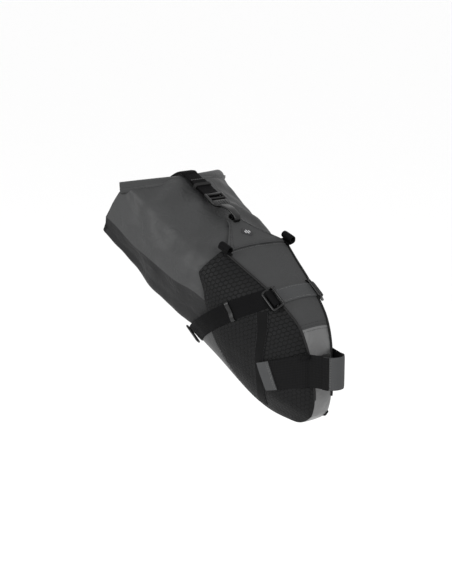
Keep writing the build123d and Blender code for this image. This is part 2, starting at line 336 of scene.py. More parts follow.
def sweep(name: str, path: np.ndarray, side: np.ndarray, up: np.ndarray, section: np.ndarray,
          material: bpy.types.Material, looped: bool = False) -> bpy.types.Object:
    """A bar of one section along a path.

    Args:
        name: The piece's name.
        path: Points in metres.
        side: The section's sideways direction at each point.
        up: The section's upward direction at each point.
        section: The section's outline in millimetres.
        material: The piece's finish.
        looped: Whether the bar closes on itself.

    Returns:
        The new object.
    """
    sec = section * MM
    rings = path[:, None] + side[:, None] * sec[None, :, :1] + up[:, None] * sec[None, :, 1:]
    return ring_mesh(name, rings, material, looped)


def rounded(width: float, height: float, radius: float, corner_points: int = 4) -> np.ndarray:
    """The outline of a rounded rectangle, in millimetres."""
    radius = min(radius, width / 2 - 1e-3, height / 2 - 1e-3)
    turn = np.linspace(0, math.pi / 2, corner_points)
    points = []
    for k, (sx, sy) in enumerate(((1, 1), (-1, 1), (-1, -1), (1, -1))):
        angle = turn + k * math.pi / 2
        points.append(np.stack([sx * (width / 2 - radius) + radius * np.cos(angle),
                                sy * (height / 2 - radius) + radius * np.sin(angle)], -1))
    return np.concatenate(points)


def tube(name: str, path: np.ndarray, radius: float, material: bpy.types.Material, looped: bool = False,
         around: int = 10) -> bpy.types.Object:
    """A round bar along a path.

    Args:
        name: The piece's name.
        path: Points in metres.
        radius: Its radius in millimetres.
        material: The piece's finish.
        looped: Whether it closes on itself.
        around: Points round the bar.

    Returns:
        The new object.
    """
    ahead = np.roll(path, -1, 0) - np.roll(path, 1, 0) if looped else np.gradient(path, axis=0)
    ahead = unit(ahead)
    spread = path.max(0) - path.min(0)
    helper = np.eye(3)[int(np.argmin(spread))]
    side = unit(np.cross(ahead, helper + 1e-4))
    up = np.cross(side, ahead)
    angle = np.linspace(0, 2 * math.pi, around, endpoint=False)
    section = np.stack([np.cos(angle), np.sin(angle)], -1) * radius
    return sweep(name, path, side, up, section, material, looped)


def moulded(name: str, outline: np.ndarray, place: Matrix, height: float, bevel: float,
            material: bpy.types.Material) -> bpy.types.Object:
    """A moulded block with softened edges.

    Args:
        name: The piece's name.
        outline: The block's outline in its own plane, in millimetres, anticlockwise.
        place: Where the block's middle goes.
        height: Its height in millimetres.
        bevel: How far the edges are softened.
        material: The piece's finish.

    Returns:
        The new object.
    """
    ahead = unit(np.roll(outline, -1, 0) - np.roll(outline, 1, 0))
    inward = np.stack([-ahead[:, 1], ahead[:, 0]], -1)
    rings = []
    for level, inset in ((-1, 1.0), (-1, 0.3), (-1, 0.0), (1, 0.0), (1, 0.3), (1, 1.0)):
        flat = outline + inward * bevel * inset
        z = level * (height / 2 - bevel * (1 - math.sqrt(1 - (1 - inset) ** 2)))
        rings.append(np.concatenate([flat, np.full((len(flat), 1), z)], 1))
    return ring_mesh(name, placed(np.array(rings), place), material)


def placed(points: np.ndarray, place: Matrix) -> np.ndarray:
    """Moves millimetre points of a piece's own plane into the frame."""
    turn = np.array(place.to_3x3())
    return points @ turn.T * MM + np.array(place.translation)


def own_plane(s: float, y: float, u: float, roll: float = 0.0, pitch: float = 0.0) -> Matrix:
    """A place on the bag with x back along it, y to the right and z up.

    Args:
        s: How far back.
        y: How far left.
        u: How far up.
        roll: Its turn about the bag's length, in degrees.
        pitch: Its turn about its own y, in degrees.

    Returns:
        The place as a matrix.
    """
    back, right, up = row([1, 0, 0]) / MM, np.array([0.0, -1.0, 0.0]), row([0, 0, 1]) / MM
    base = Matrix((back, right, up)).transposed().to_4x4()
    base.translation = Vector(row([s, y, u]))
    return base @ Matrix.Rotation(math.radians(roll), 4, "X") @ Matrix.Rotation(math.radians(pitch), 4, "Y")


def joined(name: str, pieces: Sequence[bpy.types.Object]) -> bpy.types.Object:
    """Joins meshes into one piece.

    Args:
        name: The piece's name.
        pieces: The meshes, which are used up.

    Returns:
        The joined object.
    """
    with bpy.context.temp_override(active_object=pieces[0], object=pieces[0], selected_objects=list(pieces),
                                   selected_editable_objects=list(pieces)):
        bpy.ops.object.join()
    pieces[0].name = name
    pieces[0].data.name = name
    return pieces[0]


def stitches(name: str, path: np.ndarray, out: np.ndarray, material: bpy.types.Material, pitch: float = 3.2,
             length: float = 2.2, radius: float = 0.32) -> bpy.types.Object:
    """A row of lockstitches that sit just proud of a surface.

    Args:
        name: The piece's name.
        path: The seam in metres.
        out: The outward direction along it.
        material: The thread.
        pitch: From one stitch to the next, in millimetres.
        length: The length of a stitch in millimetres.
        radius: The thread's half thickness in millimetres.

    Returns:
        The row as one object.
    """
    total = np.linalg.norm(np.diff(path, axis=0), axis=1).sum() / MM
    count = max(int(total / pitch), 2)
    seam = even(np.concatenate([path, out], 1), count * 4 + 1)
    span = max(int(round(4 * length / pitch)), 2)
    around = np.linspace(0, 2 * math.pi, 6, endpoint=False)
    verts, faces, flat = [], [], []
    for k in range(count):
        part = seam[k * 4:k * 4 + span + 1]
        points, up = part[:, :3], unit(part[:, 3:])
        ahead = unit(np.gradient(points, axis=0))
        side = unit(np.cross(ahead, up))
        swell = np.sin(np.linspace(0.35, math.pi - 0.35, len(points)))
        base = len(verts)
        for p, n, w, size in zip(points, up, side, swell):
            middle = p + n * radius * 0.4 * MM
            for a in around:
                verts.append(middle + (w * math.cos(a) + n * math.sin(a)) * radius * size * MM)
        rows = len(points)
        for i in range(rows - 1):
            for j in range(6):
                m = (j + 1) % 6
                faces.append((base + i * 6 + j, base + i * 6 + m, base + i * 6 + 6 + m, base + i * 6 + 6 + j))
        faces += [tuple(base + j for j in range(6))[::-1], tuple(base + rows * 6 - 6 + j for j in range(6))]
        flat += [(0.0, 0.0)] * (4 * 6 * (rows - 1) + 12)
    return finish_mesh(name, np.array(verts), faces, flat, material)


def fit(piece: bpy.types.Object, body: str, slot: str, *nodes: str) -> bpy.types.Object:
    """Puts a piece on its body and says what it stands for.

    Args:
        piece: The piece.
        body: The body that carries it.
        slot: The record's material slot; it is not used.
        nodes: CAD nodes that it replaces.

    Returns:
        The same piece.
    """
    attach(piece, body)
    if nodes:
        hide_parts(*nodes)
    LOG.info("%s rides on %s%s", piece.name, body, f", for {', '.join(nodes)}" if nodes else "")
    return piece


# --------------------------------------------------------------------------------------------- finishes


class Relief(Enum):
    """The small pattern that stands out of a finish."""

    PLAIN = "plain"
    WEAVE = "plain weave"
    HEXAGONS = "raised hexagons"
    RIBS = "fine ribs"


class Wires:
    """Adds nodes to one shader tree."""

    def __init__(self, tree: bpy.types.NodeTree) -> None:
        """Takes the tree that the nodes go into."""
        self.tree = tree

    def add(self, kind: str, **settings: object) -> bpy.types.Node:
        """Adds one node with its settings."""
        node = self.tree.nodes.new(kind)
        for name, value in settings.items():
            setattr(node, name, value)
        return node

    def feed(self, socket: bpy.types.NodeSocket, value: object) -> None:
        """Links a socket to another, or gives it a fixed value."""
        if isinstance(value, bpy.types.NodeSocket):
            self.tree.links.new(value, socket)
        else:
            socket.default_value = value

    def math(self, operation: str, *values: object) -> bpy.types.NodeSocket:
        """Adds a math node and returns what it puts out."""
        node = self.add("ShaderNodeMath", operation=operation)
        for socket, value in zip(node.inputs, values):
            self.feed(socket, value)
        return node.outputs[0]

    def vector(self, operation: str, *values: object) -> bpy.types.Node:
        """Adds a vector math node."""
        node = self.add("ShaderNodeVectorMath", operation=operation)
        for socket, value in zip(node.inputs, values):
            self.feed(socket, value)
        return node

    def group(self, tree: bpy.types.NodeTree, **values: object) -> bpy.types.Node:
        """Adds a node group with its values by input name."""
        node = self.add("ShaderNodeGroup", node_tree=tree)
        for name, value in values.items():
            self.feed(node.inputs[name], value)
        return node


def new_group(name: str, inputs: Sequence[tuple], outputs: Sequence[str]) -> tuple:
    """Starts a shader node group.

    Args:
        name: The group's name.
        inputs: Names and socket kinds.
        outputs: Names of the values it puts out.

    Returns:
        The tree, its wires, its input node and its output node.
    """
    tree = bpy.data.node_groups.new(name, "ShaderNodeTree")
    for label, kind in inputs:
        tree.interface.new_socket(name=label, in_out="INPUT", socket_type=kind)
    for label in outputs:
        tree.interface.new_socket(name=label, in_out="OUTPUT", socket_type="NodeSocketFloat")
    wires = Wires(tree)
    return tree, wires, wires.add("NodeGroupInput"), wires.add("NodeGroupOutput")


class Effects:
    """The shader groups that several finishes share."""

    PLACE_AND_CELL = (("Place", "NodeSocketVector"), ("Cell", "NodeSocketFloat"))

    def __init__(self) -> None:
        """Builds each group once."""
        self.relief = {
            Relief.WEAVE: self._weave(),
            Relief.HEXAGONS: self._hexagons(),
            Relief.RIBS: self._ribs(),
        }
        self.soft = self._soft()

    def _threads(self, name: str) -> tuple:
        """Starts a group whose pattern repeats along and across the cloth."""
        tree, wires, given, result = new_group(name, self.PLACE_AND_CELL, ("Height",))
        turns = wires.math("DIVIDE", math.pi, given.outputs["Cell"])
        scaled = wires.vector("SCALE", given.outputs["Place"])
        wires.feed(scaled.inputs["Scale"], turns)
        split = wires.add("ShaderNodeSeparateXYZ")
        wires.feed(split.inputs[0], scaled.outputs[0])
        return tree, wires, split, result

    def _weave(self) -> bpy.types.NodeTree:
        """Threads that pass over and under each other."""
        tree, wires, split, result = self._threads("Plain weave")
        waves = [wires.math("SINE", split.outputs[k]) for k in (0, 1)]
        product = wires.math("MULTIPLY", *waves)
        wires.feed(result.inputs["Height"], wires.math("MULTIPLY_ADD", product, 0.5, 0.5))
        return tree

    def _ribs(self) -> bpy.types.NodeTree:
        """Ribs across the length, broken by fainter lines along it."""
        tree, wires, split, result = self._threads("Webbing ribs")
        across = wires.math("ABSOLUTE", wires.math("SINE", split.outputs[1]))
        along = wires.math("ABSOLUTE", wires.math("SINE", wires.math("MULTIPLY", split.outputs[0], 0.6)))
        broad = wires.math("MULTIPLY", across, 0.65)
        wires.feed(result.inputs["Height"], wires.math("MULTIPLY_ADD", along, 0.35, broad))
        return tree

    def _hexagons(self) -> bpy.types.NodeTree:
        """Raised hexagons with grooves between them."""
        tree, wires, given, result = new_group("Raised hexagons", self.PLACE_AND_CELL, ("Height",))
        scaled = wires.vector("SCALE", given.outputs["Place"])
        wires.feed(scaled.inputs["Scale"], wires.math("DIVIDE", 1.0, given.outputs["Cell"]))
        far = wires.vector("ADD", scaled.outputs[0], (500.0, 500.0, 0.0)).outputs[0]
        span, half = (1.0, math.sqrt(3), 1.0), (0.5, math.sqrt(3) / 2, 0.0)
        ways = []
        for shift in ((0.0, 0.0, 0.0), half):
            moved = wires.vector("SUBTRACT", far, shift).outputs[0]
            folded = wires.vector("MODULO", moved, span).outputs[0]
            centred = wires.vector("SUBTRACT", folded, half).outputs[0]
            ways.append(wires.vector("MULTIPLY", centred, (1, 1, 0)))
        sizes = [wires.vector("LENGTH", way.outputs[0]).outputs["Value"] for way in ways]
        nearer = wires.math("LESS_THAN", sizes[0], sizes[1])
        pick = wires.add("ShaderNodeMix", data_type="VECTOR")
        wires.feed(pick.inputs[0], nearer)
        wires.feed(pick.inputs[4], ways[1].outputs[0])
        wires.feed(pick.inputs[5], ways[0].outputs[0])
        bare = wires.vector("ABSOLUTE", pick.outputs[1]).outputs[0]
        slant = wires.vector("DOT_PRODUCT", bare, (0.5, math.sqrt(3) / 2, 0.0)).outputs["Value"]
        split = wires.add("ShaderNodeSeparateXYZ")
        wires.feed(split.inputs[0], bare)
        reach = wires.math("MAXIMUM", slant, split.outputs[0])
        rise = wires.add("ShaderNodeMapRange", interpolation_type="SMOOTHSTEP")
        wires.feed(rise.inputs["Value"], reach)
        for label, value in (("From Min", 0.5), ("From Max", 0.36), ("To Min", 0.0), ("To Max", 1.0)):
            wires.feed(rise.inputs[label], value)
        wires.feed(result.inputs["Height"], rise.outputs["Result"])
        return tree

    def _soft(self) -> bpy.types.NodeTree:
        """Slow changes of shade, and small soft creases."""
        inputs = (("Place", "NodeSocketVector"), ("Size", "NodeSocketFloat"))
        tree, wires, given, result = new_group("Soft unevenness", inputs, ("Shade", "Creases"))
        scaled = wires.vector("SCALE", given.outputs["Place"])
        wires.feed(scaled.inputs["Scale"], wires.math("DIVIDE", 1.0, given.outputs["Size"]))
        shade = wires.add("ShaderNodeTexNoise")
        crease = wires.add("ShaderNodeTexNoise")
        for node, label, value in ((shade, "Scale", 0.6), (shade, "Detail", 3.0), (crease, "Scale", 1.6),
                                   (crease, "Detail", 2.0), (crease, "Distortion", 0.7)):
            wires.feed(node.inputs[label], value)
        for node in (shade, crease):
            wires.feed(node.inputs["Vector"], scaled.outputs[0])
        fold = wires.math("ABSOLUTE", wires.math("MULTIPLY_ADD", crease.outputs[0], 2.0, -1.0))
        wires.feed(result.inputs["Shade"], shade.outputs[0])
        wires.feed(result.inputs["Creases"], wires.math("SUBTRACT", 1.0, fold))
        return tree


@dataclass(frozen=True)
class Finish:
    """One finish: its colour, its gloss and its relief."""

    name: str
    colour: tuple
    rough: float
    shine: float = 0.2
    relief: Relief = Relief.PLAIN
    cell: float = 0.001
    depth: float = 0.0
    # How much darker the base colour gets in the relief's low parts: painted shade in the grooves.
    painted_groove_shade: float = 0.25
    crease: float = 0.0
    crease_size: float = 0.02
    mottle: float = 0.12
    coat: float = 0.0

    def material(self, effects: Effects) -> bpy.types.Material:
        """Makes the material.

        Args:
            effects: The shared shader groups.

        Returns:
            The material.
        """
        material = bpy.data.materials.new(self.name)
        material.use_nodes = True
        wires = Wires(material.node_tree)
        shader = material.node_tree.nodes["Principled BSDF"]
        place = wires.add("ShaderNodeUVMap", uv_map="cloth").outputs[0]
        soft = wires.group(effects.soft, Place=place, Size=self.crease_size)
        level = wires.math("MULTIPLY_ADD", soft.outputs["Shade"], 2 * self.mottle, 1 - self.mottle)
        normal = None
        if self.crease:
            fold = wires.add("ShaderNodeBump")
            fold.inputs["Distance"].default_value = self.crease * MM
            wires.feed(fold.inputs["Height"], soft.outputs["Creases"])
            normal = fold.outputs[0]
        if self.relief is not Relief.PLAIN:
            pattern = wires.group(effects.relief[self.relief], Place=place, Cell=self.cell * MM)
            bump = wires.add("ShaderNodeBump")
            bump.inputs["Distance"].default_value = self.depth * MM
            wires.feed(bump.inputs["Height"], pattern.outputs["Height"])
            if normal:
                wires.feed(bump.inputs["Normal"], normal)
            normal = bump.outputs[0]
            # Darkens the base colour where the relief is low: painted shade in its grooves.
            level = wires.math("MULTIPLY", level, wires.math(
                "MULTIPLY_ADD", pattern.outputs["Height"], 2 * self.painted_groove_shade, 1 - self.painted_groove_shade))
        tint = wires.vector("SCALE", self.colour)
        wires.feed(tint.inputs["Scale"], level)
        wires.feed(shader.inputs["Base Color"], tint.outputs[0])
        rough = wires.math("MULTIPLY_ADD", soft.outputs["Shade"], 0.16, self.rough - 0.08)
        wires.feed(shader.inputs["Roughness"], rough)
        shader.inputs["Specular IOR Level"].default_value = self.shine
        shader.inputs["Coat Weight"].default_value = self.coat
        if normal:
            wires.feed(shader.inputs["Normal"], normal)
        return material


FINISHES = {
    "woven_nylon": Finish("Grey woven nylon", (0.038, 0.0385, 0.039), 0.75, 0.16, Relief.WEAVE, 0.9, 0.2,
                          0.25, 0.3, 0.02),
    "smooth_nylon": Finish("Smooth nylon", (0.062, 0.0625, 0.063), 0.36, 0.95, Relief.WEAVE, 0.6, 0.03, 0.05,
                           1.0, 0.03),
    "floor_nylon": Finish("Floor nylon", (0.026, 0.0262, 0.0266), 0.5, 0.3, Relief.WEAVE, 0.6, 0.03, 0.05,
                          0.6, 0.03),
    "embossed_nylon": Finish("Embossed nylon", (0.0034, 0.0035, 0.0036), 0.55, 0.11, Relief.HEXAGONS, 6.4,
                             0.6, 0.45, 0.3, 0.03),
    "reinforcement": Finish("Black side strip", (0.0026, 0.0026, 0.0027), 0.6, 0.07, Relief.WEAVE, 0.7, 0.06,
                            0.1),
    "piping": Finish("Black piping", (0.004, 0.004, 0.004), 0.5, 0.2),
    "webbing": Finish("Black webbing", (0.0028, 0.0028, 0.003), 0.7, 0.05, Relief.RIBS, 1.3, 0.22, 0.3),
    "grey_webbing": Finish("Grey webbing", (0.043, 0.044, 0.045), 0.72, 0.14, Relief.RIBS, 1.1, 0.16, 0.2),
    "hook_and_loop": Finish("Hook and loop", (0.006, 0.006, 0.0062), 0.85, 0.05, Relief.RIBS, 2.1, 0.35, 0.4),
    "elastic": Finish("Elastic", (0.012, 0.012, 0.012), 0.8, 0.12, Relief.RIBS, 0.8, 0.15, 0.3),
    "buckle_plastic": Finish("Gloss black plastic", (0.004, 0.004, 0.0042), 0.3, 0.32, mottle=0.05),
    "stiffener_sheet": Finish("Stiffener sheet", (0.03, 0.03, 0.03), 0.5),
    "badge": Finish("Badge rubber", (0.02, 0.02, 0.021), 0.6, 0.2),
    "badge_mark": Finish("Badge mark", (0.45, 0.45, 0.46), 0.55, 0.25),
    "grip_rubber": Finish("Grip rubber", (0.015, 0.015, 0.015), 0.7, 0.3),
    "coated_nylon": Finish("Coated nylon, upper", (0.028, 0.0285, 0.029), 0.52, 0.26, Relief.WEAVE, 1.1, 0.08,
                           0.16, 1.1, 0.035, 0.2),
    # A darker copy of the upper coated nylon for the lower shell and tail wall: painted shade where they fall
    # in shadow.
    "coated_nylon_dark": Finish("Coated nylon, lower, painted shade", (0.0085, 0.0086, 0.009), 0.58, 0.16, Relief.WEAVE, 1.1,
                                0.08, 0.16, 1.0, 0.035, 0.2),
    "thread": Finish("Thread", (0.02, 0.02, 0.021), 0.7, 0.2),
    "pale_thread": Finish("Pale thread", (0.1, 0.1, 0.1), 0.7, 0.2),
}


@dataclass
class Part:
    """A sub-assembly, which makes finished pieces and puts each on its body."""

    look: dict

    def sheet(self, name: str, body: str, slot: str, grid: np.ndarray, out: np.ndarray, thick: float,
              lift: float = 0.0, nodes: Sequence[str] = (), finish: str = "", **more: object) -> None:
        """Makes a sheet of cloth or webbing.

        Args:
            name: The piece's name.
            body: The body that carries it.
            slot: Its material slot.
            grid: The surface it lies on.
            out: The outward direction at each point.
            thick: Thickness in millimetres.
            lift: Gap under it in millimetres.
            nodes: CAD nodes that it replaces.
            finish: Its finish, where that isn't the slot's own.
            more: What else thick_sheet takes.
        """
        fit(thick_sheet(name, grid, out, self.look[finish or slot], thick, lift, **more), body, slot, *nodes)

    def seam(self, name: str, body: str, slot: str, path: np.ndarray, out: np.ndarray,
             thread: str = "pale_thread", radius: float = 0.32) -> None:
        """Makes a row of stitches.

        Args:
            name: The piece's name.
            body: The body that carries it.
            slot: The material slot of the cloth under it.
            path: The seam in metres.
            out: The outward direction along it.
            thread: The thread's finish.
            radius: The thread's half thickness in millimetres.
        """
        fit(stitches(name, path, out, self.look[thread], radius=radius), body, slot)


# ---------------------------------------------------------------------------------------------- holster


SIDE_REAR_U = (-140, -113, -62, -50, -27, -12, 24, 40)
SIDE_REAR_S = (60, 93, 158, 166, 189, 211, 212, 213)
SKIRT_REAR_U = (-135, -116, -92, -62)
SKIRT_REAR_S = (199, 198, 184, 158)
SIDE_STRAP = ((118, 33), (122, 24), (142, -20), (183, -112))
SIDE_STRIP = ((121, 27), (92, -14), (54, -86), (44, -114))


def crossings(grid: np.ndarray, line_u: Sequence, line_s: Sequence) -> np.ndarray:
    """Finds where each column of a side grid, from the rear, first comes in front of a line.

    Args:
        grid: Places (s, y, u) by row and column.
        line_u: Heights of the line, rising.
        line_s: How far back the line is at each height.

    Returns:
        A row number for each column, with its fraction.
    """
    ahead = np.interp(grid[..., 2], line_u, line_s) - grid[..., 0]
    found = np.zeros(grid.shape[1])
    for j in range(grid.shape[1]):
        column = ahead[:, j]
        i = int(np.argmax(column >= 0)) if (column >= 0).any() else len(column) - 1
        found[j] = 0 if i == 0 else i - column[i] / (column[i] - column[i - 1])
    return found


def between(grid: np.ndarray, start: np.ndarray, end: np.ndarray, count: int) -> np.ndarray:
    """Takes each column of a grid from one row number to another, in equal steps."""
    rows = np.arange(grid.shape[0])
    part = np.empty((count, grid.shape[1], grid.shape[2]))
    for j in range(grid.shape[1]):
        places = np.linspace(start[j], end[j], count)
        for k in range(grid.shape[2]):
            part[:, j, k] = np.interp(places, rows, grid[:, j, k])
    return part


@dataclass
class HolsterForm:
    """The holster's outer shape, as strips that share their edges."""

    rows: int = 170
    across: int = 49

    RIBS = (
        ((213, 31), (213, 24.5, 56), (212, -42, 86), (217, -114, 60)),
        ((173, 34), (173, 27, 47), (173, -43, 79), (180, -115, 54)),
        ((137, 35.5), (137, 30, 39.5), (135, -44, 70), (137, -116, 45)),
        ((112, 34.5), (112, 30, 34.5), (106, -46, 60), (100, -118, 38)),
        ((85, 32), (85, 28.5, 29.5), (78, -48, 51), (68, -119.5, 31)),
        ((62, 26.5), (62, 23.5, 25), (52, -50, 43.5), (44, -117.5, 25)),
        ((38, 12), (38, 9, 21.5), (28, -52, 36), (26, -112.5, 21)),
        ((15, -9), (15, -12, 17.5), (9, -57, 28), (9, -105, 17)),
        ((-4, -31.5), (-4, -33, 15.5), (-6, -62, 21), (-6, -96, 15)),
        ((-15, -46), (-14, -47.5, 14.8), (-14, -65, 17), (-14, -87, 14)),
        ((-20.5, -60), (-19, -60.5, 14), (-19.5, -67, 14.6), (-19, -75, 14)),
        ((-21.5, -67), (-20.5, -67.5, 13.8), (-20.5, -67.5, 13.8), (-20.5, -67.5, 13.8)),
    )

    def __post_init__(self) -> None:
        """Runs smooth lines through the ribs."""
        ribs = [[(t[0], 0, t[1]), *[(s, y, u) for s, u, y in (e, m, f)]] for t, e, m, f in self.RIBS]
        self.top, self.edge, self.middle, self.low = np.moveaxis(smooth(ribs, self.rows), 1, 0)

    def strip(self) -> np.ndarray:
        """The top strip, from the rear over the nose, right edge to left edge."""
        w = np.linspace(-1, 1, self.across)[None, :, None]
        grid = self.edge[:, None] + (self.top - self.edge)[:, None] * (1 - w**2)
        grid[..., 1] = self.edge[:, None, 1] * w[..., 0]
        dip = bump_at(grid[..., 0], 113, 9) * np.abs(w[..., 0]) ** 0.5
        grid[..., 2] -= 1.4 * dip * (1 - w[..., 0] ** 8)
        edge_fade = 1 - np.abs(w[..., 0]) ** 6
        pucker = ripple(grid, 34, 3.1) * 0.7 + ripple(grid, 13, 9.2) * 0.35
        grid[..., 2] += pucker * edge_fade
        nose_fold = bump_at(grid[..., 0], 22, 22) * np.sin(grid[..., 0] * 0.33 + grid[..., 1] * 0.05)
        grid[..., 2] += 0.55 * nose_fold * edge_fade
        return grid

    def side(self, sign: float) -> np.ndarray:
        """One side, from the rear to the nose and from the top edge to the floor's edge."""
        v = np.linspace(0, 1, 64)[None, :, None]
        straight = mix(self.edge[:, None], self.low[:, None], v)
        swell = (self.middle - (self.edge + self.low) / 2)[:, None] * (1 - np.abs(2 * v - 1) ** 2.5)
        grid = straight + swell
        fade = np.minimum(1, 7 * v[..., 0]) * np.minimum(1, 7 * (1 - v[..., 0]))
        cinch = 2.2 * bump_at(line_distance(grid[..., [0, 2]], SIDE_STRAP), 0, 10)
        folds = np.sin(grid[..., 2] * 0.16 + grid[..., 0] * 0.05) * bump_at(grid[..., 0], 15, 28) * 0.7
        soft = ripple(grid * (1, sign, 1), 42, 5.3 + sign) * 1.3 + ripple(grid * (1, sign, 1), 17, 1.7) * 0.4
        grid[..., 1] = (grid[..., 1] + fade * (soft + folds - cinch)) * sign
        return grid

    def floor(self) -> np.ndarray:
        """The floor, from the rear to the nose, right edge to left edge."""
        w = np.linspace(-1, 1, self.across)[None, :, None]
        grid = np.repeat(self.low[:, None], self.across, 1)
        sag = np.minimum(1, self.low[:, 1] / 30) * 2.0
        grid[..., 2] -= sag[:, None] * (1 - w[..., 0] ** 2)
        grid[..., 1] = self.low[:, None, 1] * w[..., 0]
        return grid

    def row_at(self, line: np.ndarray, s: float) -> float:
        """The row number at which a line from the rear comes to a place."""
        return float(np.interp(-s, -line[:, 0], np.arange(self.rows)))

    def skin(self) -> Skin:
        """The whole outside, for other pieces to lie on."""
        return Skin([row(self.strip()), row(self.side(LEFT)), row(self.side(RIGHT)), row(self.floor())])


@dataclass
class Holster(Part):
    """The holster's cloth panels, piping and seams."""

    form: HolsterForm
    wall: float = 2.0
    nose_seam: float = 58.0
    hem: float = 213.0
    floor_rear: float = 198.0
    under_nose: float = 14.0
    lining_rear: float = 44.0
    lining: float = 1.4
    piping: float = 1.7

    def panel(self, name: str, slot: str, grid: np.ndarray, outward: Sequence, *nodes: str, finish: str = "",
              flat: np.ndarray | None = None) -> tuple[np.ndarray, np.ndarray]:
        """Makes one cloth panel whose outer face is a grid.

        Args:
            name: The piece's name.
            slot: Its material slot.
            grid: Places (s, y, u).
            outward: The frame direction that it faces.
            nodes: CAD nodes that it replaces.
            finish: Its finish, where that isn't the slot's own.
            flat: A flat layout, or None.

        Returns:
            Its frame points and outward directions.
        """
        places = row(grid)
        out = normals_of(places, outward)
        self.sheet(name, "holster", slot, places, out, self.wall, -self.wall, nodes, finish, flat=flat,
                   soft=0.1)
        return places, out

    def build(self) -> None:
        """Makes every panel."""
        form, full = self.form, self.form.strip()
        rows = np.ones(form.across)
        cut, hem = form.row_at(form.top, self.nose_seam), form.row_at(form.top, self.hem)
        top = between(full, hem * rows, cut * rows, 110)
        places, out = self.panel("top_panel", "woven_nylon", top, (0.5, 0, 1), "holster_top_panel")
        for number, index in enumerate((2, 5, -3, -6)):
            thread = "pale_thread" if index > 0 else "thread"
            self.seam(f"top_seam_{number}", "holster", "woven_nylon", places[index, 1:-1], out[index, 1:-1],
                      thread)
        lower = form.floor()
        under = form.row_at(form.low, self.under_nose)
        band = np.concatenate([between(full, cut * rows, (form.rows - 1) * rows, 90),
                               between(lower, (form.rows - 2) * rows, under * rows, 30)])
        places, out = self.panel("nose_band", "smooth_nylon", band, (1, 0, 0.4), "holster_nose_band")
        self.seam("nose_seam", "holster", "smooth_nylon", places[2, 1:-1], out[2, 1:-1], "thread")
        floor_start = form.row_at(form.low, self.floor_rear)
        floor = between(lower, floor_start * rows, under * rows, 100)
        self.panel("floor_panel", "smooth_nylon", floor, (0, 0, -1), "holster_bottom_panel",
                   finish="floor_nylon")
        for sign, label in SIDES:
            self.side(sign, label)
        self.line_nose()

    def line_nose(self) -> None:
        """Makes the stiff sheet that lines the nose."""
        first = int(self.form.row_at(self.form.top, self.lining_rear))
        sheets = []
        for grid, way in ((self.form.strip()[first:-6, 3:-3], (1, 0, 0.4)),
                          (self.form.side(LEFT)[first:-9, 5:50], (0, 1, 0)),
                          (self.form.side(RIGHT)[first:-9, 5:50], (0, -1, 0))):
            places = row(grid)
            out = normals_of(places, way)
            sheets.append(thick_sheet("sheet", places, out, self.look["stiffener_sheet"], self.lining, -3.9))
        fit(joined("nose_lining", sheets), "holster", "stiffener_sheet", "nose_stiffener")

    def side(self, sign: float, label: str) -> None:
        """Makes one side: its panel, the skirt below it, the piping and the seams."""
        grid = self.form.side(sign)
        columns = np.ones(grid.shape[1])
        start = crossings(grid, SIDE_REAR_U, SIDE_REAR_S)
        panel = between(grid, start, (self.form.rows - 1) * columns, 150)
        flat = panel[..., [0, 2]] * MM
        places, out = self.panel(f"side_panel_{label}", "embossed_nylon", panel, (0, sign, 0),
                                 f"holster_side_panel_{label}", flat=flat)
        self.seam(f"side_hem_{label}", "holster", "embossed_nylon", places[3, 2:40], out[3, 2:40], "thread")
        fine = np.linspace(0, grid.shape[1] - 1, 200)
        dense = np.stack([[np.interp(fine, np.arange(grid.shape[1]), line[:, k]) for k in range(3)]
                          for line in grid]).transpose(0, 2, 1)
        rear, front = crossings(dense, SKIRT_REAR_U, SKIRT_REAR_S), crossings(dense, SIDE_REAR_U, SIDE_REAR_S)
        wide = np.nonzero((front - rear > 0.6) & (dense[int(self.form.rows * 0.2), :, 2] < -50))[0]
        skirt = between(dense[:, wide], rear[wide], front[wide], 40)
        places, out = self.panel(f"skirt_{label}", "smooth_nylon", skirt, (0, sign, 0), finish="floor_nylon")
        for name, k in (("hem", 2), ("seam", -3)):
            self.seam(f"skirt_{name}_{label}", "holster", "smooth_nylon", places[k, 4:], out[k, 4:], "thread")
        edge = self.form.edge * (1, sign, 1)
        end = int(self.form.row_at(self.form.edge, -12.0))
        rim = even(row(edge[4:end] + np.array((0, sign * 0.4, 0.4))), 200)
        cord = tube(f"piping_{label}", rim, self.piping, self.look["piping"])
        fit(cord, "holster", "piping", f"piping_{label}")


# --------------------------------------------------------------------------------------------- dry bag


